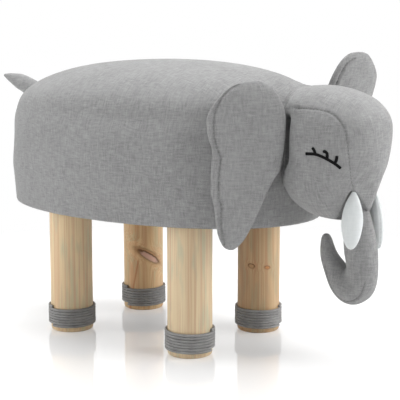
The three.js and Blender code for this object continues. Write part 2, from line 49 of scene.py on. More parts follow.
# Shapes are worked out in millimetres from the middle of the seat: +X to the head, -Y to its right side.
MM = 0.001
low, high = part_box("seat_cover")
ORIGIN = np.array([(low.x + high.x) / 2, (low.y + high.y) / 2, 0.0])


# Meshes as plain arrays of points and lists of faces

def spline(rows, count, closed=False):
    """A smooth curve through rows of numbers."""
    rows = np.asarray(rows, float)
    n = len(rows)
    if closed:
        padded, spans = np.vstack([rows[-1:], rows, rows[:2]]), n
    else:
        padded, spans = np.vstack([2 * rows[0] - rows[1], rows, 2 * rows[-1] - rows[-2]]), n - 1
    t = np.linspace(0, spans, count, endpoint=not closed)
    i = np.minimum(t.astype(int), spans - 1)
    f = (t - i)[:, None]
    a, b, c, d = padded[i], padded[i + 1], padded[i + 2], padded[i + 3]
    square, cube = 2 * a - 5 * b + 4 * c - d, 3 * b - a - 3 * c + d
    return 0.5 * (2 * b + (c - a) * f + square * f ** 2 + cube * f ** 3)


def even(points, step):
    """The points of a line, spaced evenly."""
    points = np.asarray(points, float)
    lengths = np.r_[0, np.cumsum(np.linalg.norm(np.diff(points, axis=0), axis=1))]
    places = np.linspace(0, lengths[-1], max(2, int(round(lengths[-1] / step)) + 1))
    return np.stack([np.interp(places, lengths, column) for column in points.T], 1)


def unit(vectors):
    return vectors / np.maximum(np.linalg.norm(vectors, axis=1), 1e-12)[:, None]


def bell(value, width):
    return np.exp(-(value / width) ** 2)


def circle(sides):
    return np.linspace(0, 2 * np.pi, sides, endpoint=False)


def loft(rings):
    """A closed mesh between rings; each end closes on the middle of its ring."""
    rings = np.asarray(rings, float)
    count, sides = rings.shape[:2]
    end = (count - 1) * sides
    r = np.arange(count - 1)[:, None] * sides
    s = np.arange(sides)[None, :]
    t = (s + 1) % sides
    faces = np.stack([r + s, r + t, r + sides + t, r + sides + s], -1).reshape(-1, 4).tolist()
    for i in range(sides):
        j = (i + 1) % sides
        faces.append([end + sides, j, i])
        faces.append([end + sides + 1, end + i, end + j])
    return outward(np.vstack([rings.reshape(-1, 3), rings[0].mean(0), rings[-1].mean(0)]), faces)


def swept(line, across, up, wide, tall, sides):
    """A tube along a line, with an oval section of half sizes wide and tall in two directions."""
    turn = circle(sides)
    across, up = (np.broadcast_to(way, line.shape)[:, None] for way in (across, up))
    wide, tall = (np.reshape(size, (len(line), -1)) for size in (wide, tall))
    rings = line[:, None] + across * (wide * np.cos(turn))[..., None]
    return loft(rings + up * (tall * np.sin(turn))[..., None])


def normals(points, faces):
    """Unit normals of a mesh of quads and triangles, and its signed volume."""
    total = np.zeros_like(points)
    volume = 0.0
    for size in (3, 4):
        group = np.array([f for f in faces if len(f) == size], int).reshape(-1, size)
        if not len(group):
            continue
        corners = points[group]
        face = np.cross(corners[:, 2] - corners[:, 0], corners[:, -1] - corners[:, 1])
        volume += (face * corners.mean(1)).sum() / 6
        for k in range(size):
            for axis in range(3):
                total[:, axis] += np.bincount(group[:, k], face[:, axis], len(points))
    return unit(total), volume


def outward(points, faces):
    if normals(points, faces)[1] < 0:
        faces = [f[::-1] for f in faces]
    return points, faces


def pushed(points, faces, amount):
    """Moves the points of a mesh along their normals."""
    return points + normals(points, faces)[0] * np.reshape(amount, (-1, 1))


def joined(parts):
    points, faces, base = [], [], 0
    for p, f in parts:
        points.append(p)
        faces += [[i + base for i in face] for face in f]
        base += len(p)
    return np.vstack(points), faces


def read(mesh):
    co = np.zeros(len(mesh.vertices) * 3)
    mesh.vertices.foreach_get("co", co)
    return (co.reshape(-1, 3) - ORIGIN) / MM, [list(p.vertices) for p in mesh.polygons]


def mesh_of(name, points, faces):
    mesh = bpy.data.meshes.new(name)
    mesh.from_pydata((np.asarray(points) * MM + ORIGIN).tolist(), [], faces)
    mesh.update()
    return mesh


def linked(name, data):
    obj = bpy.data.objects.new(name, data)
    scene.collection.objects.link(obj)
    return obj


def worked(points, faces, *modifiers, frames=0, held=None):
    """The mesh after modifiers, each (type, settings), and frames of time. Held weights pin points."""
    obj = linked("work", mesh_of("work", points, faces))
    if held is not None:
        group = obj.vertex_groups.new(name="held")
        for i, weight in enumerate(held):
            if weight > 0.02:
                group.add([i], float(min(weight, 1)), "REPLACE")
    for kind, settings in modifiers:
        modifier = obj.modifiers.new(kind, kind)
        for key, value in settings.items():
            target = modifier
            *path, last = key.split(".")
            for step in path:
                target = getattr(target, step)
            setattr(target, last, value)
    for number in range(1, frames + 1):
        scene.frame_set(number)
    result = read(obj.evaluated_get(bpy.context.evaluated_depsgraph_get()).to_mesh())
    mesh = obj.data
    bpy.data.objects.remove(obj)
    bpy.data.meshes.remove(mesh)
    if frames:
        scene.frame_set(1)
    return result


def fused(parts, voxel):
    return outward(*worked(*joined(parts), ("REMESH", {"mode": "VOXEL", "voxel_size": voxel * MM})))


def edges_of(faces):
    pairs = np.array([(f[i - 1], f[i]) for f in faces for i in range(len(f))])
    return np.unique(np.sort(pairs, axis=1), axis=0)


def chain(count):
    """The edges of an open line of points."""
    return np.stack([np.arange(count - 1), np.arange(1, count)], 1)


def spread(values, edges, steps, weight=1.0, keep=0.0):
    """Evens values out over the mesh's edges; keep undoes the shrinking."""
    values = np.array(values, float)
    flat = values.ndim == 1
    values = values[:, None] if flat else values
    count = np.bincount(edges.ravel(), minlength=len(values))[:, None]
    weight = weight[:, None] if np.ndim(weight) else weight
    for step in range(steps):
        total = np.zeros_like(values)
        for axis in range(values.shape[1]):
            total[:, axis] = (np.bincount(edges[:, 0], values[edges[:, 1], axis], len(values))
                              + np.bincount(edges[:, 1], values[edges[:, 0], axis], len(values)))
        change = total / np.maximum(count, 1) - values
        values = values + (0.5 if not keep or step % 2 == 0 else -keep) * weight * change
    return values[:, 0] if flat else values


def filleted(points, faces, where, steps, spill=10):
    """Rounds the hollow corners of a mesh where a weight of 0 to 1 allows it."""
    edges = edges_of(faces)
    points = spread(points, edges, 8, keep=0.53)
    normal, _ = normals(points, faces)
    hollow = ((spread(points, edges, 1) - points) * normal).sum(1)
    weight = spread(np.clip(hollow / 0.03, 0, 1), edges, spill) * 2.2
    return spread(points, edges, steps, np.clip(weight, 0, 1) * where)


def distance(points, line, step=0.6):
    """From each point to a line, and how far along the line, in millimetres."""
    line = even(line, step)
    best, place = np.full(len(points), 1e9), np.zeros(len(points))
    for start in range(0, len(points), 20000):
        part = points[start:start + 20000]
        square = (part ** 2).sum(1)[:, None] + (line ** 2).sum(1)[None] - 2 * part @ line.T
        best[start:start + 20000] = np.sqrt(np.maximum(square.min(1), 0))
        place[start:start + 20000] = square.argmin(1) * step
    return best, place


def seam(points, faces, line, depth=1.0, width=1.1, puff=0.35, reach=5.0, easing=None):
    """Pulls a sewn line into the surface, with the fabric standing up a little beside it."""
    away, place = distance(points, line)
    pull = 1 + 0.25 * np.sin(place * 2 * np.pi / 6.5) + 0.15 * np.sin(place * 2 * np.pi / 17 + 1)
    pull *= np.clip(np.minimum(place, place.max() - place) / 7, 0.1, 1)
    if easing is not None:
        pull *= easing(place)
    stand = puff * bell(away - reach, 0.55 * reach)
    return pushed(points, faces, (stand - depth * bell(away, width)) * pull)


def tree(points, faces):
    return BVHTree.FromPolygons([tuple(p) for p in points], faces)


def laid(line, solid):
    """The points of a surface nearest to those of a line, and the normals there."""
    found = [solid.find_nearest(Vector(p)) for p in line]
    return np.array([f[0] for f in found]), np.array([f[1] for f in found])


def on_surface(line, solid):
    return laid(line, solid)[0]


def inside(point, solid):
    """Whether a point lies in a closed mesh, by the number of faces that a ray from it crosses."""
    ray, count, at = Vector((0.31, 0.87, 0.38)), 0, Vector(point)
    while count < 40:
        hit = solid.ray_cast(at, ray)[0]
        if hit is None:
            break
        count += 1
        at = hit + ray * 0.0001
    return count % 2 == 1


def kept_off(points, solid, margin, most=60.0):
    """Moves the points that lie in a solid, or closer to it than a margin, out to that margin."""
    points = np.array(points, float)
    for i, p in enumerate(points):
        near, normal, _, gap = solid.find_nearest(Vector(p), most)
        if near is None:
            continue
        side = (Vector(p) - near).dot(normal)
        if gap < margin or side < 0 and inside(p, solid):
            points[i] = near + normal * margin
    return points


def turned(points, pivot, axis, angle):
    turn = np.array(Matrix.Rotation(math.radians(angle), 3, Vector(axis)))
    return (points - pivot) @ turn.T + pivot


def swung_clear(points, solids, margin, pivot, axis, limits, rounds=1):
    """Keeps a swinging piece off solids at rest and through its swing."""
    for solid in solids:
        for angle in (0, *np.linspace(*limits, 5)) * rounds:
            moved = kept_off(turned(points, pivot, axis, angle), solid, margin)
            points = turned(moved, pivot, axis, -angle)
    return points


def piece(name, points, faces, look, slot="grey_fabric", body="stool", replaces=()):
    mesh = mesh_of(name, *outward(np.asarray(points, float), faces))
    mesh.polygons.foreach_set("use_smooth", [True] * len(mesh.polygons))
    mesh.materials.append(look)
    obj = linked(name, mesh)
    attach(obj, body)
    if replaces:
        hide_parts(*replaces)
    return obj


# Materials

class Value:
    """A number, colour, place or shader in a node tree. Sums, products and powers of it add nodes."""

    def __init__(self, nodes, socket):
        self.nodes, self.socket = nodes, socket

    def __add__(self, other):
        return self.nodes.math("ADD", self, other)

    def __sub__(self, other):
        return self.nodes.math("SUBTRACT", self, other)

    def __mul__(self, other):
        return self.nodes.math("MULTIPLY", self, other)

    def __truediv__(self, other):
        return self.nodes.math("DIVIDE", self, other)

    def __pow__(self, other):
        return self.nodes.math("POWER", self, other)

    __radd__ = __add__


class Nodes:
    """A small writer of a material's node tree."""

    def __init__(self, name):
        self.look = bpy.data.materials.new(name)
        self.look.use_nodes = True
        self.tree = self.look.node_tree
        self.shader = self.tree.nodes["Principled BSDF"]

    def put(self, socket, value):
        if isinstance(value, Value):
            self.tree.links.new(value.socket, socket)
        else:
            socket.default_value = value

    def new(self, kind, inputs=None, **settings):
        node = self.tree.nodes.new("ShaderNode" + kind)
        for key, value in settings.items():
            setattr(node, key, value)
        for key, value in (inputs or {}).items():
            self.put(node.inputs[key], value)
        return node

    def add(self, kind, inputs=None, output=0, **settings):
        return Value(self, self.new(kind, inputs, **settings).outputs[output])

    def math(self, operation, a, b=0.0):
        return self.add("Math", {0: a, 1: b}, operation=operation)

    def bell(self, value, steepness):
        """1 where a value is 0, falling off on both sides."""
        return self.math("EXPONENT", value ** 2.0 * -steepness)

    def mix(self, share, a, b):
        """Mixes two colours."""
        return self.add("Mix", {0: share, 6: a, 7: b}, 2, data_type="RGBA")

    def noise(self, vector, scale, detail=3.0, rough=0.55):
        inputs = {"Vector": vector, "Scale": scale, "Detail": detail, "Roughness": rough}
        return self.add("TexNoise", inputs, "Fac")

    def parts(self, vector):
        """The three numbers of a vector."""
        return [Value(self, out) for out in self.new("SeparateXYZ", {0: vector}).outputs]

    def vector(self, x, y, z=0.0):
        return self.add("CombineXYZ", {0: x, 1: y, 2: z})

    def scaled(self, vector, *factors):
        return self.add("VectorMath", {0: vector, 1: factors}, operation="MULTIPLY")

    def shifted(self, vector, way):
        return self.add("VectorMath", {0: vector, 1: way}, operation="ADD")

    def place(self, scale=(1000, 1000, 1000)):
        """The place on the object, in millimetres unless the scale says otherwise."""
        return self.scaled(self.add("TexCoord", output="Object"), *scale)

    def ramp(self, value, low, high, out_low=0.0, out_high=1.0):
        inputs = {"Value": value, "From Min": low, "From Max": high, "To Min": out_low, "To Max": out_high}
        return self.add("MapRange", inputs, "Result")

    def three(self, value, deep, base, pale):
        """Three colours, deep for low values and pale for high ones."""
        node = self.new("ValToRGB", {"Fac": value})
        stops = node.color_ramp.elements
        stops[0].position, stops[0].color = 0.3, deep
        stops[1].position, stops[1].color = 0.7, pale
        stops.new(0.5).color = base
        return Value(self, node.outputs["Color"])

    def bump(self, height, distance_mm):
        bump = self.add("Bump", {"Height": height, "Distance": distance_mm * MM, "Strength": 1.0}, "Normal")
        self.set(Normal=bump)

    def set(self, **values):
        for key, value in values.items():
            self.put(self.shader.inputs[key.replace("_", " ")], value)


def srgb(*levels):
    """Three sRGB levels of 0 to 255 as linear colour."""
    colour = (((v / 255 + 0.055) / 1.055) ** 2.4 if v > 10 else v / 255 / 12.92 for v in levels)
    return (*colour, 1.0)


def grey(value, warm=0.0):
    return srgb(value + warm, value, value - warm)


def cloth(name, base, deep, pale, pitch=0.85, relief=0.16, fleck=1.0, sheen=0.15):
    """Plain woven cloth of heathered yarn, laid on from three sides. Base, deep and pale are colours."""
    n = Nodes(name)
    place = n.place()
    weights = [n.math("ABSOLUTE", side) ** 6.0 for side in n.parts(n.add("TexCoord", output="Normal"))]
    whole = weights[0] + weights[1] + weights[2]
    drift = n.noise(place, 0.02, 2.0) * 9.0
    drifted = [side + drift for side in n.parts(place)]
    height, tone = 0.0, 0.0
    for axis, (u, v) in enumerate(((1, 2), (0, 2), (0, 1))):
        sides = drifted[u], drifted[v]
        waves = [n.math("SINE", side * (math.pi / pitch)) for side in sides]
        over = n.ramp(waves[0] * waves[1], -0.25, 0.25)
        yarns = []
        for k, (side, run) in enumerate((sides, sides[::-1])):
            apart = 5.0 * axis + 17.0 * k
            strand = n.vector(n.math("FLOOR", side * (1 / pitch)), run * 0.1, apart)
            slub = n.vector(side * 0.62, run * 0.09, 40.0 + apart)
            yarns.append(n.noise(strand, 1.0, 2.0) * 0.5 + n.noise(slub, 1.0, 2.0) * 0.5)
        weave = n.mix(over, *(n.math("ABSOLUTE", wave) for wave in waves[::-1]))
        yarn = n.mix(over, *yarns[::-1]) * 0.5 + (yarns[0] + yarns[1]) * 0.25
        share = weights[axis] / whole
        height = height + weave * share
        tone = tone + yarn * share
    fuzz = n.noise(place, 1.9, 4.0, 0.7)
    shade = 0.5
    for value, amount in ((tone, 1.15), (fuzz, 0.35), (n.noise(place, 0.03, 2.0), 0.12)):
        shade = shade + (value - 0.5) * (amount * fleck)
    # Painted shade between the yarns: the weave's low places are darkened towards the deep colour.
    colour = n.mix(n.ramp(height, 0.1, 0.75, 0.25, 0.0), n.three(shade, deep, base, pale), deep)
    # Painted shade: the colour is darkened towards near black by the weights of shade painted along seams and
    # tucks, kept on the mesh's points.
    seams = n.add("Attribute", output="Fac", attribute_name="painted_crease_shade")
    n.set(Base_Color=n.mix(seams * 0.85, colour, grey(40)), Roughness=0.92, Specular_IOR_Level=0.25,
          Sheen_Weight=sheen, Sheen_Roughness=0.45)
    n.bump(height + fuzz * 0.5, relief)
    return n.look


def thread_look(name, colour, pale, pitch, shine=0.5):
    n = Nodes(name)
    fine = n.noise(n.place(), pitch)
    n.set(Base_Color=n.mix(fine, colour, pale), Roughness=0.6, Specular_IOR_Level=shine)
    n.bump(fine, 0.12)
    return n.look


def cord_look():
    n = Nodes("grey_cord")
    fine = n.noise(n.place(), 2.4, 3.0, 0.65)
    shade = fine * 0.7 + n.noise(n.place(), 0.12, 2.0) * 0.3
    n.set(Base_Color=n.mix(n.ramp(shade, 0.3, 0.7), grey(121, 1), grey(181, 1)), Roughness=0.85,
          Sheen_Weight=0.1, Sheen_Roughness=0.5)
    n.bump(fine, 0.25)
    return n.look


def plain_look(name, colour, pale, scale, roughness, metallic=0.0, relief=0.1):
    n = Nodes(name)
    fine = n.noise(n.place(scale), 1.0, 4.0, 0.6)
    n.set(Base_Color=n.mix(fine, srgb(*colour), srgb(*pale)), Roughness=roughness, Metallic=metallic)
    n.bump(fine, relief)
    return n.look


def pine(name, centre, seed, tint=(0, 0, 0), knots=(), streaks=()):
    """Pine with straight pale grain. Knots are (angle, height, half width, half height, tilt, strength,
    core) and streaks of resin are (angle, start, top, slope, width, strength)."""
    n = Nodes(name)
    place = n.shifted(n.place(), [-v for v in np.array([*centre, 0]) + ORIGIN / MM])
    x, y, z = n.parts(place)

    def tinted(*level):
        return srgb(*(v + t for v, t in zip(level, tint)))

    def seen_from(c, s):
        """For a side of the leg: across it, and out of it as a mask of that side."""
        return x * -s + y * c, n.ramp(x * c + y * s, 0.0, 6.0)

    grain, masks = place, []
    for angle, height, half_t, half_h, tilt, strength, core in knots:
        c, s = math.cos(math.radians(angle)), math.sin(math.radians(angle))
        t, front = seen_from(c, s)
        h = z - height + t * tilt
        ragged = (n.noise(place, 0.35) - 0.5) * 0.55
        q = n.math("SQRT", (t / half_t) ** 2.0 + (h / half_h) ** 2.0) + ragged
        masks.append((q, h, front * strength, core))
        squeeze = t * -0.75 * (front * n.bell(q, 0.25))
        grain = n.shifted(grain, n.vector(squeeze * -s, squeeze * c))
    grain = n.shifted(grain, (seed * 40.0, seed * 17.0, 0))
    fine = n.noise(n.scaled(grain, 2.2, 2.2, 0.03), 1.0, 4.0, 0.65)
    bands, patch, lines, thin = (n.noise(n.scaled(grain, across, across, along), 1.0, 2.0) for across, along
                                 in ((0.16, 0.004), (0.1, 0.02), (0.62, 0.005), (1.3, 0.009)))
    amount = n.ramp(bands, 0.35, 0.7) * 0.25 + fine * 0.35
    colour = n.mix(amount, tinted(250, 226, 184), tinted(219, 179, 133))
    for value, low, high, share, tone in ((patch, 0.48, 0.62, 0.6, (212, 204, 170)),
                                          (lines, 0.52, 0.59, 0.6, (226, 179, 141)),
                                          (thin, 0.55, 0.62, 0.45, (212, 166, 124))):
        colour = n.mix(n.ramp(value, low, high, 0.0, share), colour, tinted(*tone))
    for angle, start, top, slope, width, strength in streaks:
        t, front = seen_from(math.cos(math.radians(angle)), math.sin(math.radians(angle)))
        off = t - ((z - top) * slope + start)
        mark = n.bell(off / width, 1.0) * front * n.ramp(z, top + 2, top - 4)
        colour = n.mix(mark * strength, colour, srgb(198, 128, 84))
    for q, h, amount, core in masks:
        colour = n.mix(n.ramp(q, 2.0, 0.9) * (amount * 0.5), colour, srgb(196, 146, 100))
        colour = n.mix(n.ramp(q, 1.0, 0.8) * amount, colour, core)
        rim = n.bell(q - 0.95, 22.0) * (amount * n.ramp(h, -2.0, 2.0, 0.45, 1.0))
        colour = n.mix(rim, colour, srgb(104, 66, 36))
    n.set(Base_Color=colour, Roughness=n.ramp(fine, 0.2, 0.8, 0.42, 0.6), Specular_IOR_Level=0.4)
    n.bump(fine, 0.06)
    return n.look


fabric = cloth("heathered_linen", grey(157), grey(128), grey(183))
white_felt = cloth("white_felt", srgb(231, 235, 235), srgb(215, 219, 219), srgb(243, 246, 246),
                   pitch=0.5, relief=0.05, fleck=0.5, sheen=0.2)
black_thread = thread_look("black_thread", srgb(2, 2, 3), srgb(12, 12, 13), 1.6, 0.12)
seam_thread = thread_look("seam_thread", grey(88), grey(132), 2.0)
grey_cord = cord_look()
nonwoven = plain_look("nonwoven", (26, 26, 27), (48, 48, 50), (1400, 1400, 1400), 0.95)


# Seat cover: the drum with the saddle that rises to the neck

SIDES = {"right": -1, "left": 1}
SEAT_X, SEAT_Y, SEAT_Z = 181.5, 117.0, 134.8
WALL, BULGE, CROWN, LEAN, ROLL = 101.4, 3.3, 53.5, 10.0, 1.4
CROWN_POWER = 2 / 2.2
WALL_ROWS = [(0, 0.12), (0.09, 0.32), (0.17, 0.48), (0.29, 0.78), (0.4, 1), (0.52, 0.75), (0.63, 0.47),
             (0.74, 0.3), (0.86, 0.22), (0.94, -0.15), (1, -0.85)]
HEAD_X, HEAD_LOW, HEAD_TALL, HEAD_LONG, HEAD_WIDE = 213.0, 144.0, 125.0, 51.5, 52.0
# The seat and the head are sewn together at the cut, round the neck's middle, above the saddle's height.
NECK_CUT, NECK_MIDDLE, SADDLE = 178.0, 222.0, 175.0
NECK_START, GAP, CLEARANCE = 124, 0.2, 0.35
NECK_TOP = [(120, 280), (140, 278.2), (150, 276.6), (157, 274.6), (165, 271.9), (173, 269.6), (182, 268.1),
            (191, 268.1), (200, 268.4), (214, 268.5)]
VOXEL = 1.7
FINE = 1.2


def oval(half_x, half_y, z, sides, power=2.08, x=0.0, nose=0.0):
    """A level ring; a nose narrows its front end."""
    turn = circle(sides)
    c, s = np.cos(turn), np.sin(turn)
    taper = 1 - nose * np.clip(c, 0, None) ** 2
    return np.stack([x + half_x * np.sign(c) * np.abs(c) ** (2 / power),
                     half_y * np.sign(s) * np.abs(s) ** (2 / power) * taper, np.full(sides, z)], 1)


def seat_profile():
    """Rows of (share of the oval, outward growth, height) from the rim to the crown's middle."""
    roll = np.linspace(0, np.pi / 2, 7)[:-1]
    rim = np.stack([np.ones(6), 0.12 * BULGE * np.sin(roll) - ROLL * (1 - np.sin(roll)),
                    ROLL * (1 - np.cos(roll))], 1)
    z = np.linspace(ROLL, WALL, 60)
    rows = spline(WALL_ROWS, 300)
    growth = BULGE * np.interp((z - ROLL) / (WALL - ROLL), rows[:, 0], rows[:, 1])
    wall = np.stack([np.ones(60), growth, z], 1)
    turn = np.linspace(0, np.pi / 2, 70)[1:-1]
    crown = np.stack([np.cos(turn) ** CROWN_POWER, np.full(68, growth[-1]),
                      WALL + CROWN * np.sin(turn) ** CROWN_POWER], 1)
    upper = np.vstack([wall, crown])
    for _ in range(8):
        upper[1:-1] += 0.5 * ((upper[:-2] + upper[2:]) / 2 - upper[1:-1])
    return np.vstack([rim, upper])


def drum(sides=220):
    """The drum of the seat, whose long sides stand fuller at half height and draw in at the crown's seam."""
    rings = [oval((SEAT_X + g) * s, (SEAT_Y + g) * s, SEAT_Z + z, sides, x=LEAN * max(z - WALL, 0) / CROWN)
             for s, g, z in seat_profile()]
    points, faces = loft(rings)
    share = np.clip((points[:, 2] - SEAT_Z - WALL) / CROWN, 0, 1)
    side = np.abs(points[:, 1]) / SEAT_Y
    z = points[:, 2] - SEAT_Z
    fuller = 1.7 * bell(z - 60, 24) - 1.2 * bell(z - WALL - 6, 11)
    points[:, 1] += np.sign(points[:, 1]) * fuller * side ** 4
    points[:, 2] += share * (0.009 * points[:, 0] - 0.5)
    return points, faces


def neck(start, end):
    """The part of the neck's tube between two places on X."""
    tops = spline(NECK_TOP, 200)
    rings = []
    for x in np.linspace(start, end, 30):
        share = 1 - (HEAD_X - x) / 90
        half_z = np.interp(x, tops[:, 0], tops[:, 1]) - NECK_MIDDLE
        half_y = HEAD_WIDE * (0.68 + 0.31 * min(share / 0.776, 1))
        ring = oval(half_z, half_y, 0, 72, 2.0)
        rings.append(np.stack([np.full(72, x), ring[:, 1], NECK_MIDDLE + ring[:, 0]], 1))
    return loft(rings)


def soft_noise(points, scale, seed):
    """Slow, even waves in space, from -1 to 1."""
    local = np.random.default_rng(seed)
    total = np.zeros(len(points))
    for _ in range(7):
        direction = local.normal(size=3)
        direction /= np.linalg.norm(direction)
        length = scale * local.uniform(0.7, 1.5)
        total += np.sin(points @ direction * 2 * np.pi / length + local.uniform(0, 6.3))
    return total / 4.5


def beside_neck(points):
    """A weight of 1 where the seat's saddle and the head's neck meet, so that both end level there."""
    return bell(points[:, 0] - NECK_CUT, 10) * (points[:, 2] > 150)


def stuffed(points, faces, size, swell, hold, lowest=0.8, highest=0.5, calm=None):
    """Fills a sewn cover: cloth swells under pressure where hold is not 1, and the fine mesh follows it.
    The size of its faces and the swell are in millimetres, as are the lowest and highest rise."""
    cage, cage_faces = fused([(pushed(points, faces, -swell), faces)], size)
    full, _ = worked(cage, cage_faces, ("CLOTH", {
        "settings.use_pressure": True, "settings.uniform_pressure_force": 4.0,
        "settings.effector_weights.gravity": 0.0, "settings.vertex_group_mass": "held",
    }), frames=20, held=hold(cage))
    shift = full - cage
    length = np.linalg.norm(shift, axis=1)
    shift = shift * np.minimum(1, swell / np.maximum(length, 1e-9))[:, None]
    finder = KDTree(len(cage))
    for i, p in enumerate(cage):
        finder.insert(p, i)
    finder.balance()
    carried = np.zeros_like(points)
    for i, p in enumerate(points):
        found = finder.find_n(p, 4)
        weight = np.array([1 / (0.3 + d) ** 2 for _, _, d in found])
        carried[i] = weight @ shift[[k for _, k, _ in found]] / weight.sum()
    normal, _ = normals(points, faces)
    carried = spread(carried, edges_of(faces), 6) - normal * swell
    along = (carried * normal).sum(1)
    wanted = np.clip(along, -lowest, highest)
    if calm is not None:
        wanted += calm(points) * (-0.5 - wanted)
    return points + carried + normal * (wanted - along)[:, None]


def near(width, *lines):
    """A hold that is 1 on the lines and fades beside them."""
    return lambda points: sum(np.exp(-(distance(points, line)[0] / width) ** 4) for line in lines)


def lipped(points, at, height):
    """Lifts the edge of a cover round the neck, where the seat and the head are sewn together."""
    lip = height * bell(points[:, 0] - at, 2.0) * (points[:, 2] > SADDLE)
    return points + unit(points * (0, 1, 1) - (0, 0, NECK_MIDDLE)) * lip[:, None]


def seat():
    points, faces = fused([drum(), neck(NECK_START, NECK_CUT - GAP)], VOXEL)
    near_neck = 1 / (1 + np.exp(-(points[:, 0] - 95) / 6)) * (points[:, 2] > SADDLE)
    points = filleted(points, faces, near_neck, 160, 14)
    points = stuffed(points, faces, 6.0, 1.5, lambda p: np.clip((SEAT_Z + 8 - p[:, 2]) / 4, 0, 1),
                     lowest=0.1, highest=0.3, calm=beside_neck)
    # Small pulls of the fabric rise from the tacked rim.
    upright = points[:, 2] > SEAT_Z + 1
    pulls = np.sin(np.arctan2(points[:, 1] * 1.5, points[:, 0]) * 41 + 1.5 * soft_noise(points, 60, 3))
    pulls *= 0.2 * np.exp(-np.clip(points[:, 2] - SEAT_Z - 3, 0, None) / 13) * upright
    uneven = (pulls + 0.2 * soft_noise(points, 85, 5) * upright) * (1 - beside_neck(points))
    points = lipped(pushed(points, faces, uneven), NECK_CUT - 0.6, 1.1)
    for name in ("crown_foam", "side_foam"):
        points = kept_off(points, tree(*read(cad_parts[name].data)), 0.25, 4)
    return points, faces


seat_p, seat_f = seat()
seat_tree = tree(seat_p, seat_f)

# Head: a ball that narrows to the forehead's flap, with a neck that meets the saddle

HEAD_ROWS = [
    [-0.004, 0.135, 0.0, 0.0, 0], [0, 0.126, 0.19, 0.23, 0], [0.024, 0.085, 0.47, 0.46, 0.3],
    [0.064, 0.04, 0.63, 0.62, 0.45], [0.128, 0.004, 0.775, 0.75, 0.6], [0.208, -0.004, 0.87, 0.85, 0.65],
    [0.328, 0, 0.95, 0.945, 0.5], [0.448, 0.012, 0.99, 0.995, 0.25], [0.648, 0.021, 1, 1.005, 0.05],
    [0.768, 0.008, 0.985, 0.975, 0], [0.864, -0.028, 0.895, 0.87, 0], [0.928, -0.07, 0.76, 0.725, 0],
    [0.976, -0.117, 0.525, 0.5, 0], [1, -0.146, 0.25, 0.25, 0], [1.003, -0.15, 0.0, 0.0, 0],
]
CHEEK = [(183.9, -39.5, 250.8), (203, -43.9, 250.2), (226.1, -41.7, 248), (233.7, -40.1, 245.2),
         (238.3, -39.8, 241.6), (241.2, -39.5, 239), (244.9, -39.1, 234.6), (247.1, -39, 226.6),
         (247.9, -36.4, 214.6), (247.8, -33, 200.5), (245.8, -26.3, 185.7), (245.2, -20.2, 174.7)]
FLAP = [(245.2, -20.2, 174.7), (246.7, -15, 169.4), (248.3, -9.8, 163), (249.2, -4.6, 156.6),
        (249.3, 0, 152.4)]
# The line of each tuck behind a cheek, beside the ear's front edge; shade is painted into the cloth along it.
TUCK = [(35, 240), (35, 226), (35, 210), (35, 198), (37, 188)]


def mirrored(line):
    return [(x, -y, z) for x, y, z in line]


def smooth_step(value):
    value = np.clip(value, 0, 1)
    return value * value * (3 - 2 * value)


def head_ball():
    rings = []
    for height, centre, length, width, nose in spline(HEAD_ROWS, 90)[1:-1]:
        half_x, half_y = max(length, 0.01) * HEAD_LONG, max(width, 0.01) * HEAD_WIDE
        middle = HEAD_X + 2 * HEAD_LONG * centre
        rings.append(oval(half_x, half_y, HEAD_LOW + height * HEAD_TALL, 110, 2.0, middle, max(nose, 0)))
    return loft(rings)


def cheeked(points):
    """Turns the cheeks in behind, where the ears hang before them, and fills the jowls below."""
    x, z = points[:, 0], points[:, 2]
    back = smooth_step((203 - x) / 22) * smooth_step((256 - z) / 14)
    back *= 0.1 + 0.9 * smooth_step((z - 188) / 34)
    groove = bell(x - 182.8, 4.5) * smooth_step((246 - z) / 12) * smooth_step((z - 186) / 26)
    jowl = bell(z - 178, 19) * smooth_step((216 - x) / 18)
    width = 1 - 0.12 * back - 0.3 * groove + 0.06 * jowl
    return np.stack([x - 3.0 * jowl, points[:, 1] * width, z], 1)


def flapped(points):
    """Steps the cheeks back beside the forehead's flap."""
    flap = np.array(FLAP)
    wide = np.abs(points[:, 1])
    edge = np.interp(points[:, 2], flap[::-1, 2], -flap[::-1, 1], left=-6.0)
    beside = smooth_step((wide - edge) / 2.6) * smooth_step((24.5 - wide) / 4)
    beside *= smooth_step((points[:, 0] - 226) / 14) * smooth_step((178 - points[:, 2]) / 9)
    return points + beside[:, None] * (-12.0, 0.0, 3.0)


def brow(place):
    """The cheek's seam is sharp round the brow and eases down to the tusk."""
    return 0.45 + 0.55 * smooth_step((78 - place) / 18)


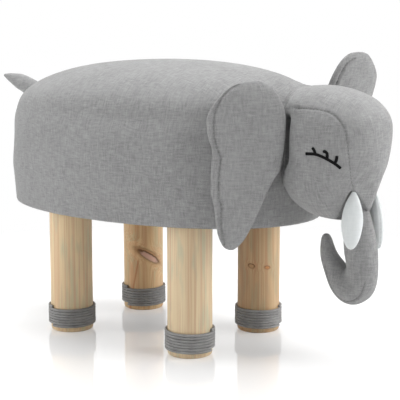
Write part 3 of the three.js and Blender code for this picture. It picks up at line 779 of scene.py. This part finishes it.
def head():
    """The head in its place: (points, faces, cheek seams, edge of the flap, tucks behind the cheeks)."""
    points, faces = fused([head_ball(), neck(NECK_CUT + GAP, HEAD_X)], FINE)
    points = cheeked(filleted(points, faces, points[:, 2] > 200, 150))
    points, faces = fused([(flapped(points), faces)], FINE)
    points = spread(points, edges_of(faces), 6, keep=0.53)
    solid = tree(points, faces)
    lines = [on_surface(spline(line, 120), solid) for line in (CHEEK, mirrored(CHEEK))]
    flap = on_surface(spline(FLAP[:-1] + mirrored(FLAP)[::-1], 90), solid)
    points = stuffed(points, faces, 4.5, 1.3, lambda p: near(3, *lines)(p) + (p[:, 0] < 182),
                     lowest=0.1, highest=1.0, calm=beside_neck)
    points = pushed(points, faces, 0.3 * soft_noise(points, 45, 11) * (1 - beside_neck(points)))
    for line in lines:
        points = seam(points, faces, line, depth=0.7, width=0.9, puff=0.15, reach=3.5, easing=brow)
    for sign in SIDES.values():
        fold = [(181.5, sign * 41, 251.4), (188, sign * 43.5, 251.4), (199, sign * 44.5, 251)]
        away, _ = distance(points, spline(fold, 20))
        points = pushed(points, faces, -1.4 * bell(away, 1.8))
    tucks = [on_surface(spline([(183.5, sign * y, z) for y, z in TUCK], 90), tree(points, faces))
             for sign in SIDES.values()]
    return kept_off(lipped(points, NECK_CUT + 0.6, 1.0), seat_tree, GAP, 40), faces, lines, flap, tucks


head_p, head_f, head_lines, flap_line, tucks = head()
head_tree = tree(head_p, head_f)

# Trunk: two tubes grown into one at the turn, with a gusset seam on each side

DROP = [(-0.66, 1.09), (-0.3, 0.88), (-0.05, 0.62), (0.1, 0.38), (0.02, 0.25), (-0.3, 0.18)]
DROP_SIZES = [(0, 0.62, 0.6), (0.12, 0.82, 0.8), (0.33, 0.93, 0.88), (0.55, 1, 0.92), (0.75, 0.92, 0.9),
              (0.93, 0.85, 0.85), (1, 0.35, 0.35)]
CURL = [(0.12, 0.36), (-0.02, 0.235), (-0.6, 0.178), (-1.2, 0.236), (-1.87, 0.395), (-2.28, 0.537),
        (-2.49, 0.742)]
CURL_SIZES = [(0, 0.35, 0.45), (0.1, 0.85, 0.85), (0.25, 0.95, 0.94), (0.38, 0.86, 0.9), (0.59, 0.66, 0.72),
              (0.77, 0.48, 0.52), (0.92, 0.33, 0.36), (0.98, 0.22, 0.25), (1, 0.06, 0.06)]
GUSSET = [(0.78, 0.3), (0.5, 0.16), (0.0, 0.075), (-0.6, 0.045), (-1.2, 0.1), (-1.8, 0.25), (-2.2, 0.4)]


TRUNK_X, TRUNK_LOW, TRUNK_TALL, TRUNK_HALF = 243.5, 60.5, 89.5, 16


def trunk_line(places):
    return [(TRUNK_X + TRUNK_HALF * ahead, 0.0, TRUNK_LOW + TRUNK_TALL * up) for ahead, up in places]


def tube(line, sizes):
    """A stuffed tube on a line in the XZ plane; sizes are (share of length, half in-plane, half sideways)."""
    line = even(spline(line, 200), 1.2)
    sizes = np.asarray(sizes, float)
    share = np.linspace(0, 1, len(line))
    inner, side = (np.interp(share, sizes[:, 0], sizes[:, k]) for k in (1, 2))
    out = np.cross(unit(np.gradient(line, axis=0)), (0, 1, 0))
    return swept(line, out, (0, 1, 0), inner, side, 40)


def trunk():
    tubes = [tube(trunk_line(line), np.array(sizes) * (1, TRUNK_HALF, TRUNK_HALF))
             for line, sizes in ((DROP, DROP_SIZES), (CURL, CURL_SIZES))]
    points, faces = fused(tubes, FINE)
    points = filleted(points, faces, 1.0, 90, 9)
    gussets = [on_surface(spline(trunk_line(GUSSET), 90) + (0, sign * 13.0, 0), tree(points, faces))
               for sign in SIDES.values()]
    points = stuffed(points, faces, 4.0, 0.9, near(2.5, *gussets), lowest=-0.3, highest=1.2)
    points = pushed(points, faces, 0.25 * soft_noise(points, 30, 21))
    for line in gussets:
        points = seam(points, faces, line, depth=0.7, width=0.9, puff=0.2, reach=3)
    return points, faces, gussets


trunk_p, trunk_f, gussets = trunk()
trunk_tree = tree(trunk_p, trunk_f)

# Ears: two panels sewn face to face; the rear edge shows the back panel beyond the front one

EAR = [(27.3, 155.9), (18, 153.3), (12.4, 149.4), (6.7, 141.8), (2.7, 134), (0.2, 125.3), (0, 114.3),
       (1.2, 95.6), (4.9, 74.7), (10.4, 66), (18.2, 50.6), (26, 32.9), (34.9, 15.3), (40, 7.5), (45, 2.7),
       (49.5, 0.4), (55.8, 2.5), (59.2, 8.3), (62.5, 19.5), (65.4, 41.9), (68.2, 55.3), (68.3, 69.6),
       (67.1, 93.7), (69.9, 102.5), (72.1, 115.6), (71, 126.4), (60.6, 141.4), (47.9, 152)]
EAR_SEAM = [(43, 154.6), (50.1, 150.9), (59.1, 142.5), (66.1, 129.6), (67.7, 118.8), (67.1, 106.9),
            (63.3, 92.5), (61, 85.9), (62.6, 69.6), (62.6, 49.6), (60.3, 41.7), (60.3, 25), (57, 5)]
EAR_FRONT_SEAM = [(30, 152.2), (22, 150.8), (15.5, 147), (10.2, 140.3), (6.4, 132.5), (4, 124.5), (3.8, 114),
                  (5, 96)]
EAR_MIDDLE, EAR_HALF, EAR_MARGIN, EAR_TIP = (36.0, 82.0), 6.0, 2.2, 106.08
EARS = {
    "right": dict(root=(187, -49.3, 225), splay=48, roll=0, lean=0, limits=(0, 60), route=EAR_SEAM),
    "left": dict(root=(177, 41.3, 246), splay=97, roll=9, lean=17, limits=(-20, 20), route=EAR_FRONT_SEAM,
                 wider=1.9),
}


def flat(points):
    return np.stack([points[:, 0], points[:, 1], np.zeros(len(points))], 1)


def ear_shape():
    """The ear in its own plane: (out from the root, up from the tip, towards the front)."""
    outline = even(np.vstack([spline(EAR, 240, closed=True), EAR[:1]]), 1.5)[:-1]
    along = unit(np.roll(outline, -1, 0) - np.roll(outline, 1, 0))
    outline = outline + EAR_MARGIN * np.stack([along[:, 1], -along[:, 0]], 1)
    centre = np.array(EAR_MIDDLE)
    rings = [np.column_stack([centre + (outline - centre) * share, np.full(len(outline), side * EAR_HALF)])
             for share, side in ((0.4, -1), (0.8, -1), (1, -1), (1, 1), (0.8, 1), (0.4, 1))]
    points, faces = fused([loft(rings)], FINE + 0.2)
    edge = flat(np.vstack([outline, outline[:1]]))
    share = np.clip(distance(flat(points), edge)[0] / 24, 0, 1)
    points[:, 2] = points[:, 2] / EAR_HALF * (1.0 + 5.2 * (1 - (1 - share) ** 2.6) ** 0.6)
    points = spread(points, edges_of(faces), 6, keep=0.53)
    return stuffed(points, faces, 4.0, 2.2, near(3.5, edge), lowest=1.2, highest=1.5), faces


def ear_seam(points, faces, route):
    """Sews a line along the ear's front: (points, the line)."""
    solid = tree(points, faces)
    line = [solid.ray_cast(Vector(q), Vector((0, 0, -1)))[0] or solid.find_nearest(Vector(q))[0]
            for q in flat(spline(route, 160)) + (0, 0, 30.0)]
    return seam(points, faces, line, depth=1.1, width=0.9, puff=0.4, reach=3.5), np.array(line)


def ear(side, root, splay, roll, lean, limits, route, wider=0.0):
    """An ear in its place: (points, seam)."""
    sign = SIDES[side]
    turns = ((sign * (180 - splay), "Z"), (sign * lean, "X"), (-roll, "Y"))
    swing, tip, twist = (Matrix.Rotation(math.radians(angle), 3, axis) for angle, axis in turns)
    pose = np.array(swing @ tip @ twist)

    def placed(points):
        """From the ear's plane into the frame: out is X, up is Z, and the front is on the head's side."""
        local = np.stack([points[:, 0], -sign * points[:, 2], points[:, 1] - EAR_TIP], 1)
        return local @ pose.T + root

    front = wider * bell(ear_p[:, 1] - 105, 40) * smooth_step((24 - ear_p[:, 0]) / 20)
    points, line = ear_seam(ear_p - front[:, None] * (1, 0, 0), ear_f, route)
    points = placed(points)
    points = swung_clear(points, (head_tree, seat_tree), CLEARANCE, root, pose[:, 2], limits)
    return points, placed(line)


ear_p, ear_f = ear_shape()
ear_pieces = {side: ear(side, **at) for side, at in EARS.items()}

# Tusks: stuffed leaves with a seam along each side

TUSK = [[0.02, 0], [0.34, 0.03], [0.64, 0.12], [0.87, 0.26], [1, 0.44], [0.95, 0.6], [0.74, 0.76],
        [0.43, 0.9], [0.16, 0.98], [0.02, 1]]
TUSK_WIDE, TUSK_THICK, TUSK_TILT = 9.75, 6.3, 2.4
TUSK_X, TUSK_Y, TUSK_TURN, TUSK_LEAN = 245, 19.5, -37, 6
# The height of each tusk's root and its length
TUSKS = {"right": (175, 54.2), "left": (170, 56.5)}


def tusk(side, top, length):
    """A tusk in its place: (points, faces, the seams along its edges)."""
    sign = SIDES[side]
    rows = spline(TUSK, 70)
    width, height = rows.T
    line = np.stack([(height - 1) * TUSK_TILT, 0 * height, (height - 1) * length - 0.6], 1)
    full = np.maximum(width, 0.02)
    points, faces = swept(line, (1, 0, 0), (0, 1, 0), full * TUSK_WIDE, full * TUSK_THICK, 48)
    edges = [line + np.outer(edge * TUSK_WIDE * width, (1, 0, 0)) for edge in (-1, 1)]
    points = stuffed(points, faces, 2.6, 0.8, lambda p: np.abs(p[:, 1]) < 0.8, lowest=-0.3, highest=1.0)
    for edge in edges:
        points = seam(points, faces, edge, depth=0.3, width=0.7, puff=0.1, reach=2)
    turn = math.radians(sign * TUSK_TURN)
    pose = np.array(Matrix.Rotation(turn, 3, "Z") @ Matrix.Rotation(math.radians(sign * TUSK_LEAN), 3, "X"))
    pivot = np.array([TUSK_X, sign * TUSK_Y, top])
    points = points @ pose.T + pivot
    axis = (sign * math.cos(turn), sign * math.sin(turn), 0)
    points = swung_clear(points, (head_tree, trunk_tree), CLEARANCE, pivot, axis, (0, 25))
    return points, faces, [edge @ pose.T + pivot for edge in edges]


tusk_pieces = {side: tusk(side, *sizes) for side, sizes in TUSKS.items()}

# Tail

TAIL_LINE = [(-175.5, 0, 243.5), (-190, 0, 249.6), (-204.7, 0, 255.7), (-222, 0, 260.8), (-239.5, 0, 265)]
TAIL_SIZES = [(0, 7.5, 7), (0.25, 11.2, 10.5), (0.6, 9.5, 8.8), (0.85, 5, 5), (0.97, 2.2, 2.2), (1, 0.4, 0.4)]
TAIL_ROOT = (-181.5, 0, 244.2)


def tail():
    """The tail in its place: (points, faces, seam)."""
    points, faces = fused([tube(TAIL_LINE, TAIL_SIZES)], FINE)
    points = spread(points, edges_of(faces), 10, keep=0.53)
    line = on_surface(spline(TAIL_LINE, 60) - (0, 0, 12), tree(points, faces))
    points = stuffed(points, faces, 3.0, 0.8, near(2, line))
    points = seam(points, faces, line, depth=0.6, width=0.8, puff=0.15, reach=2.5)
    points = swung_clear(points, (seat_tree,), 0.6, TAIL_ROOT, (0, 0, 1), (-26, 26), rounds=3)
    return points, faces, line


tail_p, tail_f, tail_seam = tail()

# The padded pieces, with their seams' shade, and the stitches that show

def painted_crease_shade(points, *lines):
    """Painted shade along seams, edges and tucks: how deep in a seam each point lies, from 0 to 1, as a
    weight that darkens the cloth's colour there. Lines are (line, width, strength, easing).
    """
    shade = np.zeros(len(points))
    for line, width, strength, *easing in lines:
        away, place = distance(points, line)
        uneven = 0.72 + 0.28 * np.sin(place * 1.7) * np.sin(place * 0.41 + 1)
        uneven *= easing[0](place) if easing else 1
        shade = np.maximum(shade, strength * uneven * bell(away, width))
    return shade


def stitches(line, solid, length=2.4, pitch=3.8, radius=0.32, sink=0.1, start=0.0, end=1.0):
    """Short visible stitches laid along a seam."""
    step = 0.2
    line = even(line, step)
    run = int(length / step)
    first, last = int(len(line) * start), int(len(line) * end)
    parts = []
    for i in range(first + 2, last - run - 2, int(pitch / step)):
        middle, face = laid(line[i:i + run + 1], solid)
        share = np.linspace(-1, 1, run + 1)
        size = radius * np.sqrt(np.clip(1 - share ** 4, 0.02, 1))
        dip = 1.6 * radius * np.clip(np.abs(share) - 0.6, 0, 1) ** 2 / 0.16
        middle = middle + face * (radius - sink - dip)[:, None]
        side = np.cross(face, unit(np.gradient(middle, axis=0)))
        parts.append(swept(middle[::2], side[::2], face[::2], size[::2], size[::2], 6))
    return joined(parts)


def padded(name, points, faces, look, fill, body="stool", replaces=(), shade=None, slot="grey_fabric"):
    obj = piece(name, points, faces, look, slot, body, replaces)
    if shade is not None:
        # The weights of painted shade along seams and tucks are kept on the points, for the cloth to darken
        # its colour with.
        values = obj.data.attributes.new("painted_crease_shade", "FLOAT", "POINT")
        values.data.foreach_set("value", shade)


flap_line = on_surface(flap_line, head_tree)
padded("upholstered_seat", seat_p, seat_f, fabric, 0.9, replaces=("seat_cover",))
# The head's painted shade: along the cheeks' seams, under the flap's edge, and strongest in the tucks between
# the ears and the cheeks.
head_shade = painted_crease_shade(head_p, *[(line, 0.8, 0.45, brow) for line in head_lines], (flap_line, 1.6, 0.3),
                    *[(line, 4.5, 1.0) for line in tucks])
padded("stuffed_head", head_p, head_f, fabric, 0.9, replaces=("head_cover", "head_filling"), shade=head_shade)
# Painted shade along the seams of the trunk, the ears, the tusks and the tail.
padded("stuffed_trunk", trunk_p, trunk_f, fabric, 0.9, replaces=("trunk",),
       shade=painted_crease_shade(trunk_p, *[(line, 0.8, 0.5) for line in gussets]))
for side, (p, line) in ear_pieces.items():
    padded(f"padded_ear_{side}", p, ear_f, fabric, 0.7, f"ear_{side}", (f"ear_{side}",),
           painted_crease_shade(p, (line, 0.9, 0.8 if side == "right" else 0.35)))
for side, (p, f, sides) in tusk_pieces.items():
    padded(f"stuffed_tusk_{side}", p, f, white_felt, 0.85, f"tusk_{side}", (f"tusk_{side}",),
           painted_crease_shade(p, *[(line, 0.7, 0.3) for line in sides]), "white_fabric")
padded("stuffed_tail", tail_p, tail_f, fabric, 0.85, "tail", ("tail",), painted_crease_shade(tail_p, (tail_seam, 0.8, 0.5)))
for side, (p, line) in ear_pieces.items():
    piece(f"ear_stitches_{side}", *stitches(line, tree(p, ear_f), end=0.93), seam_thread, body=f"ear_{side}")
parts = [stitches(line, head_tree, radius=0.26, start=0.05, end=0.96) for line in head_lines]
piece("head_stitches", *joined(parts), seam_thread)
piece("trunk_stitches", *joined([stitches(line, trunk_tree, radius=0.26) for line in gussets]), seam_thread)


def neck_band(height=1.0, width=1.5, end=2.2):
    """A narrow band of the cloth that closes the seam between the neck and the seat."""
    turn = np.linspace(-end, end, 260)
    ways = np.stack([0 * turn, np.sin(turn), np.cos(turn)], 1)
    reach = []
    for way in ways:
        found = []
        for solid, x in ((seat_tree, NECK_CUT - 2.4), (head_tree, NECK_CUT + 2.4)):
            hit = solid.ray_cast(Vector((x, 0, NECK_MIDDLE) + 90 * way), Vector(-way))[0]
            if hit is not None:
                found.append(np.hypot(hit[1], hit[2] - NECK_MIDDLE))
        reach.append(np.mean(found) if found else 46.0)
    reach = spread(reach, chain(260), 12)
    line = (NECK_CUT, 0, NECK_MIDDLE) + ways * (reach - 0.75 * height)[:, None]
    ends = np.clip(np.minimum(turn + end, end - turn) / 0.05, 0.05, 1)
    return swept(line, ways, (1, 0, 0), height * ends, width * ends, 14)


piece("neck_seam_band", *neck_band(), fabric)

# Closed eyes in satin stitch

EYE = [
    [(212.2, -51.1, 210), (222.1, -50.1, 210.2), (230.1, -47.5, 207.3), (236.9, -42.9, 202.8),
     (241.4, -37.8, 197.8)],
    [(222.1, -50.2, 210.6), (221.2, -50.5, 213.6), (219.2, -50.9, 216.3)],
    [(232.2, -46.4, 206.8), (232.4, -46.8, 210.7), (231.2, -47.6, 212.8), (228.9, -48.7, 213.4)],
    [(237.6, -42.6, 202.2), (239.2, -42.2, 205.4), (239.7, -42.3, 209.5)],
]


def satin(line, wide=1.4, tall=0.8, step=0.12):
    """A satin-stitched line: close threads across it, standing on the cloth."""
    line = even(spline(line, 80), step)
    centre, face = laid(line, head_tree)
    face = unit(spread(face, chain(len(line)), 20))
    side = np.cross(face, unit(np.gradient(centre, axis=0)))
    place = step * np.arange(len(line))
    end = np.clip(np.minimum(place, place[-1] - place) / 0.8, 0, 1)
    size = np.sqrt(1 - (1 - end) ** 2) * 0.985 + 0.015
    threads = 1 + 0.1 * np.cos(place[:, None] * 2 * np.pi / 0.48 + 1.2 * np.cos(circle(14)))
    size = size[:, None] * threads
    return swept(centre, side, face, wide * size, tall * size, 14)


for side, lines in (("right", EYE), ("left", [mirrored(line) for line in EYE])):
    strokes = joined([satin(line) for line in lines])
    piece(f"eye_stitching_{side}", *strokes, black_thread, "black_thread",
          replaces=(f"eye_embroidery_{side}",))

# Legs

LEG_X, LEG_Y, LEG_MIDDLE, RADIUS, LEG = 80.75, 59.9, 3, 22.5, 133.4
HOLE, HOLE_DEPTH = 4.3, 30.3
# Each leg's place along and across the stool, and the angle of its cord's ends and the way it is wound.
LEGS = {"front_right": (1, -1, 10, -1), "front_left": (1, 1, 12, -1),
        "rear_right": (-1, -1, -105, 1), "rear_left": (-1, 1, -99, 1)}
TURNS, CORD, CORD_LOW, CORD_PITCH = 7, 1.4, 5.0, 2.9
PINK, TAN, ORANGE = srgb(226, 184, 162), srgb(196, 156, 112), srgb(206, 138, 78)
WOODS = {
    "front_right": dict(seed=1, tint=(-9, -4, 1)),
    "front_left": dict(seed=2, tint=(-35, -38, -36), knots=(
        (-75, 73, 3.7, 2.4, 0.1, 1.0, TAN), (-31, 71.4, 3.3, 1.9, 0.1, 0.7, ORANGE))),
    "rear_right": dict(seed=3, tint=(-3, -1, 0)),
    "rear_left": dict(seed=4, tint=(-6, -12, -18), knots=(
        (-42, 66.5, 13, 5.2, 0.4, 0.4, ORANGE), (-32, 62, 12, 4.4, 0.6, 1.0, PINK)), streaks=(
        (-70, 2.5, 60.5, 0.203, 1.1, 0.85), (-24, 1.0, 48, 0.115, 0.7, 0.4), (-60, 0.0, 125, 0.1, 2.0, 0.3))),
}


def turned_leg(sides=96):
    """A round leg with eased edges and the bolt's hole in its top."""
    profile = [(0.01, 0), (RADIUS - 2.2, 0), (RADIUS - 1.5, 0.25), (RADIUS - 0.5, 1.1), (RADIUS - 0.12, 2.0),
               (RADIUS, 3.2)]
    profile += [(RADIUS, z) for z in np.linspace(6, LEG - 4, 14)]
    profile += [(RADIUS, LEG - 1.2), (RADIUS - 0.3, LEG - 0.3), (RADIUS - 1, LEG), (HOLE, LEG),
                (HOLE, LEG - HOLE_DEPTH), (0.01, LEG - HOLE_DEPTH)]
    turn = circle(sides)
    return loft([np.stack([r * np.cos(turn), r * np.sin(turn), np.full(sides, z)], 1) for r, z in profile])


def winding(end, hand, seed):
    """A braided cord laid in touching turns round the leg's own axis."""
    waves = np.random.default_rng(seed).uniform(0, 2 * np.pi, 6)
    length = TURNS * 2 * np.pi * 24
    count = int(length / (0.5))
    share = np.linspace(0, 1, count)
    turns = share * TURNS
    rates = (0.31, 0.57, 1.13, 1.61, 2.3, 2.9)
    wander = sum(np.sin(turns * 2 * np.pi * rate + wave) for rate, wave in zip(rates, waves)) / 6
    radius = RADIUS + CORD + 0.02 + 0.22 * wander
    angle = math.radians(end) + hand * turns * 2 * np.pi
    height = CORD_LOW + CORD + turns * CORD_PITCH + 0.16 * np.roll(wander, count // 9)
    line = np.stack([radius * np.cos(angle), radius * np.sin(angle), height], 1)
    along = unit(np.gradient(line, axis=0))
    over = unit(np.cross(along, np.stack([np.cos(angle), np.sin(angle), 0 * angle], 1)))
    turn = circle(14)
    place = (share * length)[:, None] * 2 * np.pi / 5.2
    size = CORD * (1 + 0.035 * (np.cos(3 * turn + place) + np.cos(3 * turn - place)))
    size[0] *= 0.75
    size[-1] *= 0.8
    return swept(line, np.cross(over, along), over, size, size, 14)


leg_p, leg_f = turned_leg()
for index, (name, (along, across, end, hand)) in enumerate(LEGS.items()):
    centre = np.array([LEG_MIDDLE + along * LEG_X, across * LEG_Y, 0.0])
    look = pine(f"pine_{name}", centre[:2], **WOODS[name])
    piece(f"turned_leg_{name}", leg_p + centre, leg_f, look, "pine", replaces=(f"leg_{name}",))
    p, f = winding(end, hand, 40 + index)
    piece(f"wound_cord_{name}", p + centre, f, grey_cord, "grey_cord", replaces=(f"cord_winding_{name}",))


# What the cover hides keeps its CAD shape

POSTS = [f"frame_post_{end}" for end in ("front", "rear", "right", "left")]
STEEL = [f"{part}_{leg}" for part in ("hanger_bolt", "flanged_nut") for leg in LEGS]
HIDDEN = [
    (("crown_foam", "side_foam"), "foam", (214, 200, 160), (240, 232, 205), (900, 900, 900), 0.95),
    (("top_board", "base_board"), "plywood", (178, 142, 98), (210, 180, 136), (60, 900, 900), 0.7),
    (("side_band",), "hardboard", (98, 72, 46), (134, 104, 72), (700, 700, 700), 0.8),
    (POSTS, "pine_posts", (186, 150, 104), (214, 186, 142), (700, 700, 25), 0.65),
    (STEEL, "zinc_steel", (178, 182, 186), (206, 208, 212), (500, 500, 500), 0.35, 1.0, 0.02),
]
for names, *values in HIDDEN:
    look = plain_look(*values)
    for name in names:
        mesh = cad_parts[name].data
        mesh.materials.clear()
        mesh.materials.append(look)

# Dust cover: a thin sheet stapled under the frame, which sags a little between the legs

INSET, SAG, ROW, ROWS = 7, 1.7, 160, 44
# The oval less its four holes has about this share of an ellipse's area.
AREA_SHARE = 1.006


def dust_cover():
    """The sheet and its area: an oval of rings round its middle, with a hole for each leg's bolt."""
    half_x, half_y, level = SEAT_X - INSET, SEAT_Y - INSET, LEG + 0.7
    shares = np.linspace(1, 0.02, ROWS)
    points = np.vstack([*(oval(half_x * s, half_y * s, level, ROW) for s in shares), (0.0, 0.0, level)])
    steps = [(i, (i + 1) % ROW) for i in range(ROW)]
    starts = ROW * np.arange(ROWS)
    faces = [(r + i, r + j, r + ROW + j, r + ROW + i) for r in starts[:-1] for i, j in steps]
    faces += [(starts[-1] + i, starts[-1] + j, ROWS * ROW) for i, j in steps]
    inward = np.append(np.repeat(1 - shares, ROW), 1) * half_y
    away = np.min([np.hypot(points[:, 0] - LEG_MIDDLE - along * LEG_X, points[:, 1] - across * LEG_Y)
                   for along, across, _, _ in LEGS.values()], axis=0)
    free = np.minimum(inward - 8, away - RADIUS - 2)
    points[:, 2] -= SAG * smooth_step(free / 34) + 0.3 * soft_noise(points, 55, 31) * smooth_step(free / 16)
    faces = [f for f in faces if all(away[i] > 6 for i in f)]
    used = np.unique(np.concatenate(faces))
    order = np.full(len(points), -1)
    order[used] = np.arange(len(used))
    faces = [tuple(order[list(f)]) for f in faces]
    points, faces = worked(points[used], faces, ("SOLIDIFY", {"thickness": 0.5 * MM, "offset": 0.0}))
    return points, faces, half_x * half_y * np.pi * AREA_SHARE


dust_p, dust_f, dust_area = dust_cover()
dust = piece("sagging_dust_cover", dust_p, dust_f, nonwoven, "nonwoven", replaces=("dust_cover",))
dust_area * 1e-6
edge = oval(SEAT_X - 12, SEAT_Y - 12, LEG - 3, 400)
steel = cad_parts["flanged_nut_front_right"].data.materials[0]
staples = stitches(np.vstack([edge, edge[:1]]), tree(dust_p, dust_f), length=9, pitch=27, radius=0.4, sink=0)
piece("dust_cover_staples", *staples, steel, "zinc_steel")

# Floor, backdrop, lamps and camera


def stage_floor():
    """A pale glossy floor that turns to white for the camera away from the stool."""
    n = Nodes("studio_floor")
    reach = n.add("VectorMath", {0: n.add("NewGeometry", output="Position")}, "Value", operation="LENGTH")
    camera = n.add("LightPath", output="Is Camera Ray")
    n.set(Base_Color=grey(236), Roughness=0.05, IOR=1.9)
    glow, white = (n.add("Emission", {"Color": (1, 1, 1, 1), "Strength": s}) for s in (camera * 0.27, 1.0))
    lifted = n.add("AddShader", {0: Value(n, n.shader.outputs[0]), 1: glow})
    mixed = n.add("MixShader", {0: n.ramp(reach, 0.3, 0.62) * camera, 1: lifted, 2: white})
    n.put(n.tree.nodes["Material Output"].inputs["Surface"], mixed)
    mesh = bpy.data.meshes.new("studio_floor")
    mesh.from_pydata([(-4, -4, 0), (4, -4, 0), (4, 4, 0), (-4, 4, 0)], [], [(0, 1, 2, 3)])
    mesh.materials.append(n.look)
    floor = linked("studio_floor", mesh)


def studio_world():
    """White for the camera and in clear reflections, and no light of its own."""
    world = bpy.data.worlds.new("studio")
    world.use_nodes = True
    scene.world = world
    nodes, links = world.node_tree.nodes, world.node_tree.links
    path, seen = nodes.new("ShaderNodeLightPath"), nodes.new("ShaderNodeMath")
    seen.operation = "MAXIMUM"
    for i, ray in enumerate(("Is Camera Ray", "Is Glossy Ray")):
        links.new(path.outputs[ray], seen.inputs[i])
    links.new(seen.outputs[0], nodes["Background"].inputs["Strength"])
    nodes["Background"].inputs["Color"].default_value = (1, 1, 1, 1)


def softbox(name, place, size, power):
    """A round lamp turned to the middle of the stool."""
    light = bpy.data.lights.new(name, "AREA")
    light.shape, light.size, light.energy = "DISK", size, power
    obj = linked(name, light)
    obj.location = place
    obj.rotation_euler = (Vector((0, 0, 0.2)) - Vector(place)).to_track_quat("-Z", "Y").to_euler()


LAMPS = [
    ("top", (0.1, 0.1, 1.9), 1.5, 25.4), ("steep", (-0.8, -0.6, 1.8), 1.0, 4.8),
    ("high_back", (-1.0, 1.0, 1.5), 1.2, 13.2), ("high_right", (1.8, 0.2, 1.4), 1.2, 17.3),
    ("side", (-1.6, -1.4, 0.6), 1.2, 16.0), ("far", (1.5, 1.3, 0.7), 1.2, 20.1),
    ("front", (0.0, -1.9, 0.9), 1.0, 5.3), ("low", (0.3, -1.8, 0.15), 0.8, 1.5),
]
stage_floor()
studio_world()
for name, *values in LAMPS:
    softbox(f"{name}_softbox", *values)

CAMERA_AT = (801.0, -977.4, 342.8)
CAMERA_RIGHT, CAMERA_UP = (0.79315, 0.60903, 0), (-0.09672, 0.12596, 0.98731)
CAMERA_BACK = (0.60130, -0.78309, 0.15882)
camera = bpy.data.cameras.new("camera")
camera.lens, camera.sensor_width = 108.0, 36.0
view = linked("camera", camera)
turn = Matrix((CAMERA_RIGHT, CAMERA_UP, CAMERA_BACK)).transposed().to_4x4()
view.matrix_world = Matrix.Translation(Vector(np.array(CAMERA_AT) * MM + ORIGIN)) @ turn
scene.camera = view
scene.view_settings.view_transform = "Standard"
